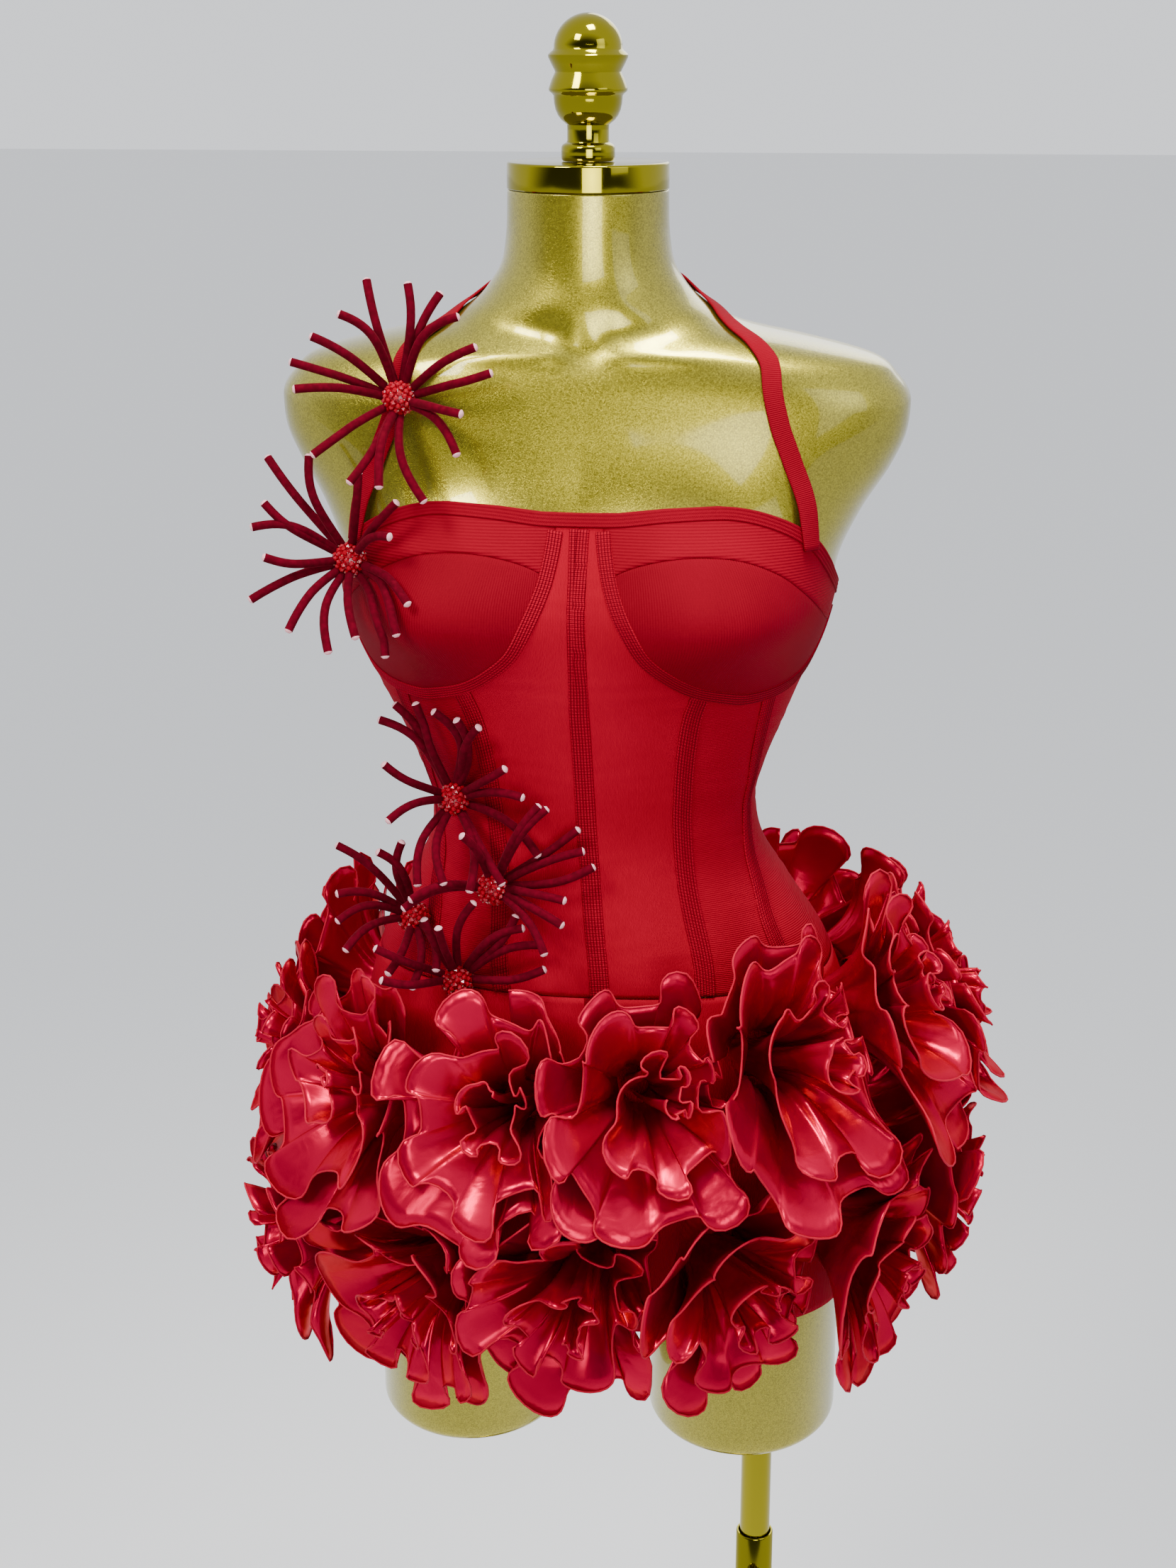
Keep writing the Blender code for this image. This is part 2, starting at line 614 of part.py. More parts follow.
def make_bodice(knit, rib):
    """Panels, cups, channels, binding and strap, on both halves."""
    low = CLOTH_CLEAR
    trim_low = ON_PANEL + TRIM_CLEAR
    bottom = PANEL_BOTTOM
    for side, tag in ((-1, "left"), (1, "right")):
        wire = on_line(WIRE_LINE, 21, side)
        princess = on_line(PRINCESS_LINE, 10, side)
        flank = on_line(SIDE_LINE, 10, side)
        band = on_line(BAND_LINE, 13, side)
        # The places on the wire line where the other seams meet it
        at_princess = nearest_on(wire, princess[0])
        at_flank = nearest_on(wire, flank[0])
        band_in = nearest_on(wire[:7], band[0])
        band_out = 13 + nearest_on(wire[13:], band[-1])
        princess[0] = wire[at_princess]
        flank[0] = wire[at_flank]
        band[0] = wire[band_in]
        band[-1] = wire[band_out]
        wire[0, 0] = top_height(wire[0, 1])
        wire[-1, 0] = top_height(wire[-1, 1])
        # Front panel: centre front to princess seam, and up between the cups
        edge = np.concatenate([princess[::-1], wire[at_princess - 1::-1]])
        below = np.linspace(bottom, 1.176, len(princess))
        above = np.linspace(1.176, 1.298, at_princess + 1)
        heights = np.concatenate([below, above[1:]])
        centre = np.stack([heights, np.full(len(heights), side * 1e-4)], -1)
        cloth(f"panel_front_{tag}", trimmed(ruled(centre, edge, 4), SEAM), knit, low, CLOTH_WALL)
        # Side front panel: princess seam to side seam, under the cup
        under = wire[at_princess:at_flank + 1]
        columns = []
        for k, share in enumerate(np.linspace(0, 1, len(under))):
            line = princess * (1 - share) + flank * share
            fade = np.linspace(1, 0, len(line))[:, None] ** 2
            columns.append(line + (under[k] - line[0]) * fade)
        cloth(f"panel_side_front_{tag}", trimmed(np.stack(columns, 1), SEAM), knit, low, CLOTH_WALL)
        # Back panel: side seam and the outside of the cup to the zip at the centre back
        edge = np.concatenate([flank[::-1], wire[at_flank + 1:]])
        zip_edge = side * (math.pi - ZIP_HALF_GAP / 0.085)
        below = np.linspace(bottom, 1.165, len(flank))
        above = np.linspace(1.165, 1.203, len(edge) - len(flank) + 1)
        heights = np.concatenate([below, above[1:]])
        back = np.stack([heights, np.full(len(heights), zip_edge) - twist(heights)], -1)
        grid = ruled(edge, back, 11)
        drop = top_height(grid[-1, :, 1]) - grid[-1, :, 0]
        grid[:, :, 0] += drop[None] * np.linspace(0, 1, len(grid))[:, None] ** BACK_EASE
        cloth(f"panel_back_{tag}", trimmed(grid, SEAM), knit, low, CLOTH_WALL)
        # Cup, lower part: wire to band seam
        lower = wire[band_in:band_out + 1]
        upper = resampled(band, len(lower))
        cloth(f"cup_lower_{tag}", trimmed(ruled(lower, upper, 5), SEAM), knit, low, CLOTH_WALL)
        # Cup, upper band: band seam to top edge
        phi_top = np.linspace(wire[0, 1], wire[-1, 1], len(band))
        grid = ruled(resampled(band, len(band)), np.stack([top_height(phi_top), phi_top], -1), 4)
        grid[0] = resampled(wire[band_in::-1], 4)
        grid[-1] = resampled(wire[band_out:], 4)
        cloth(f"cup_upper_{tag}", trimmed(grid, SEAM), knit, low, CLOTH_WALL)
        # Channels sewn over the seams
        run = ended(wire, wire[0, 0] - BINDING_FOOT, wire[-1, 0] - BINDING_FOOT - WIRE_WIDTH * 0.47)
        cloth(f"channel_wire_{tag}", strip(run, WIRE_WIDTH, 2), rib, trim_low, TRIM_WALL)
        for name, line, lift in (("princess", princess, PRINCESS_LIFT), ("side", flank, 0)):
            run = line.copy()
            run[0, 0] -= WIRE_WIDTH / 2 + PRINCESS_END
            run[-1, 0] += CHANNEL_END
            cloth(f"channel_{name}_{tag}", strip(run, CHANNEL_WIDTH, 2), rib, trim_low + lift, TRIM_WALL)
    run = np.stack([np.linspace(1.298 - BINDING_FOOT, bottom + CHANNEL_END, 17), np.zeros(17)], -1)
    cloth("channel_centre", strip(run, CHANNEL_WIDTH), rib, trim_low, TRIM_WALL)
    # Top binding, from the zip all the way round to the zip
    half = on_line(TOP_LINE, 25, 1)
    half[-1, 1] -= 0.0030 / 0.09 + float(twist(1.2))
    other = on_line(TOP_LINE, 25, -1)
    other[-1, 1] += 0.0030 / 0.09 - float(twist(1.2))
    run = np.concatenate([other[::-1], half[1:]])
    run[:, 0] -= BINDING_WIDTH / 2
    cloth("top_binding", strip(run, BINDING_WIDTH, 2), rib, trim_low, TRIM_WALL)


def strap_grid():
    """The halter strap's line over both shoulders and round the back of the neck, with its clearance."""
    right = on_line(STRAP_LINE, 21, 1)
    left = on_line(STRAP_LINE, 21, -1)
    left[:, 1] += 2 * math.pi
    line = np.concatenate([right, left[::-1][1:]])
    grid = strip(line, STRAP_WIDTH, 2)
    above = np.clip((line[:, 0] - 1.296) / 0.030, 0, 1)
    over_trim = ON_CHANNEL + TRIM_CLEAR
    low = over_trim + (STRAP_CLEAR - over_trim) * above * above * (3 - 2 * above)
    return grid, low


def make_strap(rib):
    grid, low = strap_grid()
    low = np.repeat(low[:, None], 2, 1)
    z, phi = grid[..., 0], grid[..., 1]
    wall("halter_strap", skin(z, phi, low + TRIM_WALL), skin(z, phi, low), rib)


def make_skirt_base(knit):
    phi = np.linspace(0, 2 * math.pi, SKIRT_COLUMNS, endpoint=False)
    heights = [SKIRT_TOP] + [z for z in FORM_HEIGHTS if SKIRT_HEM < z < SKIRT_TOP - 0.01] + [SKIRT_HEM]
    z, phi = np.meshgrid(heights, phi, indexing="ij")
    low = np.full(z.shape, CLOTH_CLEAR)
    wall("skirt_base", skin(z, phi, low + CLOTH_WALL), skin(z, phi, low), knit, closed=True)


def rosette_seat(angle, height):
    """How far the sewn edge of a rosette lies off the form. The skirt's facets cut in most at the sides."""
    at_side = height > ROW_SPLIT and abs(angle) > 75
    return ON_PANEL + (SIDE_ROSETTE_CLEAR if at_side else ROSETTE_CLEAR)


def rosette_frame(angle, height):
    """Where a rosette is sewn on, where its face lies, and the three directions of its own axes."""
    theta = math.radians(angle)
    depth = FACE_FRONT if math.cos(theta) > 0 else FACE_BACK
    face = np.array([FACE_CENTRE_X + FACE_SIDE * math.sin(theta), -depth * math.cos(theta), height])
    hip = 0.104 if math.cos(theta) > 0 else 0.125
    phi = math.atan2(0.168 * math.sin(theta), hip * math.cos(theta))
    z = ROW_SPLIT + 0.76 * (height - ROW_SPLIT)
    root = skin(z, phi, ON_PANEL)
    out = face - root
    reach = np.linalg.norm(out)
    out /= reach
    side = np.cross([0, 0, 1], out)
    side /= np.linalg.norm(side)
    return z, phi, root, face, out, side, np.cross(out, side), reach


def rosette_surface(spec, frames, v, t):
    """The middle of a rosette's cloth. v runs along its strip, t from its sewn edge to its free edge."""
    u = v ** RUFFLE_CROWDING
    name, angle, height, start, size, waves = spec
    z, phi, root, face, out, side, up, reach = frames[name]
    hand = 1 if start % 20 == 0 else -1
    turn = math.radians(start) + hand * 2 * math.pi * RUFFLE_TURNS * u
    beat = 2 * math.pi * waves * v + math.pi / 4
    base = 0.0065 + 0.0185 * u
    wide = (0.0150 + 0.0560 * u ** 0.58) * size
    tall = (reach + 0.012) * (1.10 - 0.44 * u)
    ease = np.minimum(1, 6 * (1 - u) + 0.25) * np.minimum(1, 6 * u + 0.25)
    swing = (0.0035 + 0.0095 * u) * np.cos(beat) * ease * size
    drift = (0.0045 + 0.0045 * u) * np.sin(2 * beat) * ease * size / wide
    lift = (0.004 + 0.005 * u) * np.sin(beat + 0.8) * ease
    # The sewn edge, on the skirt
    local = np.stack([base * np.cos(turn), base * np.sin(turn)], -1)
    around = local[..., 0] / torso_radius(z, phi)
    sewn = skin(z + local[..., 1], phi + around, np.full(u.shape, rosette_seat(angle, height)))
    # The free edge
    bent = turn + hand * drift
    edge_radius = wide + swing
    free = root + (tall + lift)[..., None] * out
    free = free + (edge_radius * np.cos(bent))[..., None] * side
    free = free + (RUFFLE_HEIGHT * edge_radius * np.sin(bent))[..., None] * up
    free[..., 2] -= 0.006 * u
    rise = sewn + (0.60 * tall)[..., None] * out
    t = t[..., None]
    return (1 - t) ** 2 * sewn + 2 * t * (1 - t) * rise + t * t * free


def kept_apart(points, spec, frames, heads):
    """The points, eased away from the planes between this rosette and its neighbours, and from the flowers."""
    name = spec[0]
    mine = frames[name][3]
    root = frames[name][2]
    room = NEIGHBOUR_ROOM
    margin = RUFFLE_WALL / 2 + 0.0006
    for other in ROSETTES:
        if other[0] == name:
            continue
        theirs = frames[other[0]][3]
        if np.linalg.norm(theirs - mine) > NEIGHBOUR_REACH:
            continue
        # The plane leans with the two axes, because the rosettes fan out from the hips
        top = (mine + theirs) / 2
        foot = (root + frames[other[0]][2]) / 2
        spread = theirs - mine
        lean = top - foot
        lean /= np.linalg.norm(lean)
        normal = spread - (spread @ lean) * lean
        normal /= np.linalg.norm(normal)
        over = (points - top) @ normal
        kept = -margin - (room - margin) * np.exp(-(over + room) / (room - margin))
        move = np.where(over > -room, kept - over, 0)
        points = points + move[..., None] * normal
    for centre, radius in heads:
        away = points - centre
        distance = np.linalg.norm(away, axis=-1)
        eased = (distance ** 6 + radius ** 6) ** (1 / 6)
        points = centre + away * (eased / np.maximum(distance, 1e-6))[..., None]
    return pushed_out(points, rosette_seat(spec[1], spec[2]))


def sheet_sides(middle, thick):
    """The two faces of a wall, half its thickness to each side of a grid of points."""
    along = np.gradient(middle, axis=0)
    across = np.gradient(middle, axis=1)
    normal = np.cross(along, across)
    normal /= np.linalg.norm(normal, axis=-1, keepdims=True)
    return middle + normal * thick / 2, middle - normal * thick / 2


def make_rosettes(satin, heads):
    frames = {spec[0]: rosette_frame(spec[1], spec[2]) for spec in ROSETTES}
    for spec in ROSETTES:
        steps = COLUMNS_PER_WAVE * spec[5] + 1
        v, t = np.meshgrid(np.linspace(0, 1, steps), np.array([0, 0.55, 1.0]), indexing="ij")
        middle = kept_apart(rosette_surface(spec, frames, v, t), spec, frames, heads)
        outer, inner = sheet_sides(middle, RUFFLE_WALL)
        wall(spec[0], outer, inner, satin, split=split_short)


def flower_head(spec):
    """The centre of a flower's bead cluster."""
    return skin(spec[2], math.radians(spec[1]), spec[3] + SEAM + BEAD_RADIUS)


def strand_points(head, angle, reach, lift, steps):
    """One strand of a fringe flower: out of the head, then curving back with its own weight."""
    a = math.radians(angle)
    start = head + 0.004 * VIEW_OUT
    out = math.sqrt(max(STRAND_LENGTH ** 2 - reach ** 2, 0.0002)) * 0.62 + lift
    tip = head + reach * (math.cos(a) * VIEW_RIGHT + math.sin(a) * VIEW_UP) + out * VIEW_OUT
    middle = head + 0.50 * (tip - head) + (0.010 + 0.6 * lift) * VIEW_OUT + 0.004 * VIEW_UP
    t = np.linspace(0, 1, steps + 1)[:, None]
    points = (1 - t) ** 2 * start + 2 * t * (1 - t) * middle + t * t * tip
    least = np.where(t[:, 0] > 0.15, ON_CHANNEL + STRAND_RADIUS + 0.0055, 0)
    return pushed_out(points, least)


def nearest(first, second):
    """The least distance between two runs of points, sampled finely."""
    fine = []
    for run in (first, second):
        at = np.linspace(0, len(run) - 1, 4 * len(run))
        fine.append(np.stack([np.interp(at, np.arange(len(run)), run[:, k]) for k in range(3)], -1))
    return np.linalg.norm(fine[0][:, None] - fine[1][None], axis=-1).min()


def all_strands():
    """The strands of every flower, each lifted until it clears the strands of the other flowers."""
    placed = []
    result = {}
    for spec in FLOWERS:
        head = flower_head(spec)
        others = [flower_head(other) for other in FLOWERS if other is not spec]
        runs = []
        for angle, reach in spec[4]:
            best = None
            for lift, bend in itertools.product(STRAND_LIFTS, STRAND_BENDS):
                run = strand_points(head, angle + bend, reach, lift, STRAND_STEPS)
                gap = min([nearest(run, other) for other in placed] + [1.0])
                for centre in others:
                    gap = min(gap, nearest(run, np.array([centre, centre])) - BEAD_RADIUS + STRAND_RADIUS)
                if best is None or gap > best[0]:
                    best = (gap, run)
                if gap > 2 * STRAND_RADIUS + 0.0010:
                    break
            runs.append(best[1])
        placed += runs
        result[spec[0]] = (head, runs)
    return result


def tube(name, run, radius, sides, look):
    """A closed tube along a run of points."""
    along = np.gradient(run, axis=0)
    along /= np.linalg.norm(along, axis=1, keepdims=True)
    side = np.cross(along[0], [0.3, 0.2, 0.9])
    rings = []
    for k in range(len(run)):
        side = side - (side @ along[k]) * along[k]
        side /= np.linalg.norm(side)
        other = np.cross(along[k], side)
        rings.append(np.array([
            run[k] + radius * (math.cos(a) * side + math.sin(a) * other)
            for a in np.linspace(0, 2 * math.pi, sides, endpoint=False)]))
    return rings_solid(name, rings, look)


def make_flowers(velvet, strands):
    for spec in FLOWERS:
        head, runs = strands[spec[0]]
        ball = lathe(spec[0], [
            (0, BEAD_RADIUS), (BEAD_RADIUS * 0.71, BEAD_RADIUS * 0.71), (BEAD_RADIUS, 0),
            (BEAD_RADIUS * 0.71, -BEAD_RADIUS * 0.71), (0, -BEAD_RADIUS)], 10, velvet, tuple(head))
        group = bpy.data.collections.new(spec[0] + "_strands")
        bpy.context.scene.collection.children.link(group)
        group.hide_render = True
        for k, run in enumerate(runs):
            made = tube(f"{spec[0]}_strand_{k + 1:02d}", run, STRAND_RADIUS, STRAND_SIDES, velvet)
            bpy.context.scene.collection.objects.unlink(made)
            group.objects.link(made)
            made.hide_render = True
        change = ball.modifiers.new("strands", "BOOLEAN")
        change.operation = "UNION"
        change.operand_type = "COLLECTION"
        change.collection = group


def make_zip(knit, steel):
    """Zip at the centre back: its tape, its slider and the pull that hangs from it."""
    trim_low = ON_PANEL + TRIM_CLEAR
    z = np.linspace(1.2030 - BINDING_FOOT, PANEL_BOTTOM + CHANNEL_END, 12)
    line = np.stack([z, math.pi - twist(z)], -1)
    cloth("zip_tape", strip(line, ZIP_TAPE_WIDTH, 3), knit, trim_low, ZIP_TAPE_WALL)
    point = skin(ZIP_SLIDER_Z, math.pi, trim_low + ZIP_TAPE_WALL + SEAM)
    out = torso_normal(ZIP_SLIDER_Z, math.pi)
    lean = math.atan2(out[2], out[1])
    slider = box("zip_slider", (-0.0045, 0, -0.0055), (0.0045, 0.0030, 0.0055), steel)
    slider.location = point
    slider.rotation_euler = (lean, 0, 0)
    for name, low, high in (
        ("bail_top", (-0.0007, 0.0025, 0.0033), (0.0007, 0.0072, 0.0041)),
        ("bail_foot", (-0.0007, 0.0025, -0.0022), (0.0007, 0.0072, -0.0014)),
        ("bail_bar", (-0.0007, 0.0062, -0.0022), (0.0007, 0.0072, 0.0041)),
    ):
        piece = box(name, low, high, steel)
        piece.location = point
        piece.rotation_euler = (lean, 0, 0)
        boolean(slider, piece, "UNION")
    turn = np.array([[1, 0, 0], [0, math.cos(lean), -math.sin(lean)], [0, math.sin(lean), math.cos(lean)]])
    axis = point + turn @ np.array([0, 0.0046, 0.0020])
    pull = box("zip_pull", (-0.0031, -0.0006, -0.0240), (0.0031, 0.0006, 0.0006), steel)
    eye = box("pull_eye", (-0.0013, -0.0020, -0.0064), (0.0013, 0.0020, -0.0006), steel)
    for piece in (pull, eye):
        piece.location = axis
    boolean(pull, eye, "DIFFERENCE")


def main():
    for old in list(bpy.data.objects):
        bpy.data.objects.remove(old)
    knit = material("bandage_knit", (0.33, 0.004, 0.016), 0.75)
    rib = material("rib_binding", (0.30, 0.004, 0.014), 0.70)
    satin = material("ruffle_satin", (0.45, 0.006, 0.020), 0.35)
    velvet = material("strand_velvet", (0.18, 0.003, 0.012), 0.85)
    lacquer = material("gold_lacquer", (0.45, 0.33, 0.08), 0.30, 0.8)
    gold = material("polished_gold", (0.80, 0.58, 0.24), 0.18, 1.0)
    steel = material("zip_metal", (0.55, 0.55, 0.56), 0.30, 1.0)
    make_form(lacquer)
    make_stand(gold)
    make_bodice(knit, rib)
    make_strap(rib)
    make_skirt_base(knit)
    strands = all_strands()
    hip = next(spec for spec in FLOWERS if spec[0] == "flower_hip")
    make_rosettes(satin, [(flower_head(hip), BEAD_RADIUS + 0.006)])
    make_flowers(velvet, strands)
    make_zip(knit, steel)


main()
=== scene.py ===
"""Looks of the bandage dress on its limbless form with its stand.

Metres, +Z up, the front of the dress faces -Y. The cloth, the rosettes and the flowers are worked out on the
same torso surface as the solids, by height z and angle phi round the body, 0 at the centre front.
"""

import math

import bmesh
import bpy
import numpy as np
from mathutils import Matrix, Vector


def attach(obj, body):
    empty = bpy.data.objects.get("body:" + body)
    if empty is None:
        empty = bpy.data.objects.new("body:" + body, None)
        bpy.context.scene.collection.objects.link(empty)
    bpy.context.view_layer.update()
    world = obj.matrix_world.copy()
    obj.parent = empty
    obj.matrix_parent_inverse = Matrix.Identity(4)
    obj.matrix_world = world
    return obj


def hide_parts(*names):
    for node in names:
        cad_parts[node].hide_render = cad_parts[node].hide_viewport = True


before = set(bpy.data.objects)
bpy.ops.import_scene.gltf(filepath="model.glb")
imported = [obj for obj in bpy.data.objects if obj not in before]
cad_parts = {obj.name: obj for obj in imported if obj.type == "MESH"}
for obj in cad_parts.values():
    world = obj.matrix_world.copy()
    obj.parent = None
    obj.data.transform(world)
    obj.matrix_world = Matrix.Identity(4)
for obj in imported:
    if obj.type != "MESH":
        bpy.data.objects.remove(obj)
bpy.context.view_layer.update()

# Driving sizes of the cloth, in metres
SEAM = 0.0003
FORM_INSET = 0.0035
CLOTH_LOW = 0.0006
CLOTH_HIGH = 0.0028
TRIM_LOW = 0.0022
TRIM_HIGH = 0.0039
CHANNEL_WIDTH = 0.0125
WIRE_WIDTH = 0.0095
BINDING_WIDTH = 0.0090
BINDING_FOOT = BINDING_WIDTH + 0.0006
BINDING_GAP = 0.0030
CHANNEL_END = 0.0006
STRAP_WIDTH = 0.0120
STRAP_WALL = 0.0016
STRAP_ON_CLOTH = 0.0040
STRAP_ON_FORM = 0.0012
FRONT_TOP = 1.298
BACK_TOP = 1.203
PANEL_BOTTOM = 0.985
SKIRT_TOP = 0.9844
SKIRT_HEM = 0.742
ON_PANEL = 0.0035
ON_CHANNEL = 0.0056
ON_STRAP = 0.0036
SATIN_WALL = 0.0006
OVERLOCK_RADIUS = 0.0007
OVERLOCK_SIDES = 6
RUFFLE_TURNS = 3.2
RUFFLE_HEIGHT = 1.20
UPPER_RADIUS = 0.056
LOWER_RADIUS = 0.067
CORNER_RADIUS = 0.095
PLANE_DEPTH = 0.76
PLANE_LEAN = 0.55
OVERLAP_RISE = 0.010
ROW_RISE = 0.012
ROW_SPLIT = 0.872
NEIGHBOUR_REACH = 0.21
STRAND_RADIUS = 0.0027
STRAND_LENGTH = 0.074
STRAND_LIFTS = (0, 0.006, 0.012, 0.018, 0.025, 0.032)
STRAND_BENDS = (0, 8, -8, 16, -16)
BEAD_RADIUS = 0.0105
BEADS = 84
BEAD_SIZE = 0.0019
# Small pale seeds among the beads, painted glints
GLINT_SEEDS = 16
GLINT_SEED_SIZE = 0.00055
ZIP_HALF_GAP = 0.0020
ZIP_TAPE_WIDTH = 0.022
ZIP_TAPE_HIGH = 0.0052
ZIP_PITCH = 0.0021
ZIP_CLOSED = 1.181
MAP_RADIUS = 0.125

# The raised ribs of the knit, and the scale at which a Wave Texture's bands lie 1 m apart
RIB_DEPTH = 0.00022
ROW_PITCH = 0.0009
ROW_DEPTH = 0.00004
WAVE_SCALE = 0.31416

# Driving sizes of the stand
NECK_TOP = 1.4834
CAP_RADIUS = 0.0502
CAP_TOP = 1.500
THIGH_BOTTOM = 0.634
POLE_X = 0.123
POLE_Y = 0.013
POLE_UPPER_RADIUS = 0.0110
POLE_UPPER_BOTTOM = 0.260
POLE_LOWER_RADIUS = 0.0135
POLE_LOWER_BORE = 0.0116
POLE_LOWER_TOP = 0.516
BASE_X = 0.060
BASE_RADIUS = 0.200
BASE_THICK = 0.008
FINE_BEVEL = 0.0006
KNOB_Z = 0.482
KNOB_GRIP = 0.0125
KNOB_FLUTES = 80

# Turned profiles as (radius, height), the knob's height being its distance from the pole's centre line
FINIAL_RADIUS = 0.0210
FINIAL_DOME = 1.5664
FINIAL_TURNING = [
    (0.0216, 1.5652), (0.0238, 1.5634), (0.0245, 1.5625), (0.0244, 1.5612), (0.0225, 1.5572),
    (0.0206, 1.5536), (0.0203, 1.5527), (0.0207, 1.5516), (0.0224, 1.5480), (0.0239, 1.5437),
    (0.0242, 1.5426), (0.0239, 1.5414), (0.0222, 1.5400), (0.0212, 1.5388), (0.0211, 1.5370),
    (0.0208, 1.5340), (0.0200, 1.5305), (0.0186, 1.5273), (0.0166, 1.5246), (0.0140, 1.5225),
    (0.0130, 1.5217), (0.0129, 1.5200), (0.0129, 1.5125), (0.0133, 1.5113), (0.0148, 1.5105),
    (0.0160, 1.5096), (0.0165, 1.5084), (0.0166, 1.5070), (0.0166, 1.5030), (0.0164, 1.5014),
]
KNOB_BOSS = [(0.0034, 0.0195), (0.0060, 0.0195), (0.0065, 0.0190), (0.0065, 0.0126), (0.0034, 0.0126)]
KNOB = [
    (0, 0.0325), (0.0106, 0.0325), (0.0112, 0.0322), (0.0138, 0.0308), (0.0140, 0.0303), (0.0140, 0.0227),
    (0.0138, 0.0223), (0.0120, 0.0203), (0.0060, 0.0198), (0.0030, 0.0198), (0.0030, 0.0145), (0, 0.0145),
]

# The form's seat, its collar bones, and its thighs by height, half width and half depth
SEAT = 0.80
SEAT_DEPTH = 0.026
COLLAR_Z = 1.3895
COLLAR_RIDGE = 0.0013
COLLAR_HOLLOW = 0.0022
COLLAR_NOTCH = 0.0020
THIGHS = [
    (0.6375, 0.0665, 0.0775), (0.7350, 0.0665, 0.0780), (0.8000, 0.0655, 0.0770), (0.8700, 0.0580, 0.0700),
]
THIGH_TOP = 0.872
THIGH_ROUND = 0.0065
THIGH_X = 0.0145
THIGH_Y = 0.003
THIGH_APART = 0.0965
THIGH_LEAN = 0.15

# Height, half width, depth in front, depth behind, sideways drift, squareness
SECTIONS = [
    (1.4834, 0.0500, 0.048, 0.052, 0.000, 2.00),
    (1.4560, 0.0510, 0.050, 0.054, 0.000, 2.00),
    (1.4320, 0.0580, 0.053, 0.060, 0.000, 2.00),
    (1.4140, 0.0760, 0.057, 0.066, 0.001, 2.00),
    (1.4020, 0.1020, 0.059, 0.070, 0.002, 2.10),
    (1.3940, 0.1400, 0.061, 0.074, 0.003, 2.20),
    (1.3850, 0.1740, 0.064, 0.078, 0.004, 2.30),
    (1.3720, 0.1910, 0.068, 0.082, 0.004, 2.40),
    (1.3560, 0.1990, 0.072, 0.086, 0.004, 2.40),
    (1.3380, 0.1980, 0.077, 0.089, 0.004, 2.40),
    (1.3180, 0.1910, 0.083, 0.092, 0.004, 2.40),
    (1.2900, 0.1750, 0.091, 0.094, 0.003, 2.40),
    (1.2600, 0.1620, 0.098, 0.094, 0.002, 2.40),
    (1.2350, 0.1585, 0.101, 0.092, 0.001, 2.40),
    (1.2100, 0.1520, 0.099, 0.088, 0.001, 2.35),
    (1.1800, 0.1400, 0.095, 0.082, 0.001, 2.30),
    (1.1500, 0.1270, 0.090, 0.075, 0.002, 2.25),
    (1.1200, 0.1150, 0.086, 0.070, 0.003, 2.20),
    (1.0950, 0.1080, 0.084, 0.068, 0.004, 2.20),
    (1.0650, 0.1120, 0.086, 0.072, 0.006, 2.20),
    (1.0350, 0.1280, 0.091, 0.084, 0.008, 2.20),
    (1.0000, 0.1480, 0.097, 0.100, 0.011, 2.25),
    (0.9600, 0.1620, 0.102, 0.116, 0.013, 2.30),
    (0.9100, 0.1700, 0.104, 0.127, 0.014, 2.35),
    (0.8600, 0.1710, 0.102, 0.124, 0.014, 2.40),
    (0.8000, 0.1700, 0.099, 0.114, 0.014, 2.40),
    (0.7400, 0.1680, 0.096, 0.108, 0.014, 2.40),
    (0.6900, 0.1660, 0.094, 0.104, 0.014, 2.40),
]
CUP_ANGLE = 38.0
CUP_HEIGHT = 1.232
CUP_RISE = 0.034
CUP_SPREAD_SIDE = 0.050
CUP_SPREAD_UP = 0.052
CUP_SPREAD_DOWN = 0.036
CUP_ARC = 0.115
CUP_MIDDLE = 0.6

# Seam lines of the right half as (angle in degrees, height)
TOP_LINE = [
    (0, 1.2980), (15, 1.2985), (30, 1.3015), (45, 1.3030), (52, 1.3005), (58, 1.2945), (64, 1.2845),
    (71, 1.2670), (77, 1.2540), (84, 1.2450), (95, 1.2380), (115, 1.2230), (145, 1.2080), (180, 1.2030),
]
WIRE_LINE = [
    (9.0, 1.2985), (9.8, 1.2750), (11.8, 1.2535), (16.0, 1.2310), (20.5, 1.2150), (27.5, 1.2025),
    (36.0, 1.1920), (46.0, 1.1850), (55.0, 1.1810), (64.0, 1.1820), (73.0, 1.1870), (80.0, 1.1965),
    (84.5, 1.2110), (87.0, 1.2280), (87.5, 1.2430),
]
BAND_LINE = [
    (11.0, 1.2610), (17.0, 1.2670), (23.0, 1.2710), (29.0, 1.2735), (35.0, 1.2745), (45.5, 1.2715),
    (54.0, 1.2620), (61.0, 1.2490), (69.0, 1.2350), (77.0, 1.2240), (85.6, 1.2180),
]
PRINCESS_LINE = [(39.4, 1.1894), (39.4, 1.150), (40.0, 1.100), (38.2, 1.050), (37.0, 1.000), (36.0, 0.985)]
SIDE_LINE = [(63.0, 1.1818), (67.0, 1.145), (72.5, 1.100), (68.0, 1.060), (62.5, 1.025), (61.0, 0.985)]
STRAP_LINE = [
    (65.2, 1.2740), (64.5, 1.3000), (62.5, 1.3300), (61.7, 1.3500), (62.8, 1.3750), (67.0, 1.3930),
    (78.0, 1.4060), (93.0, 1.4150), (110.0, 1.4230), (135.0, 1.4290), (160.0, 1.4320), (180.0, 1.4330),
]

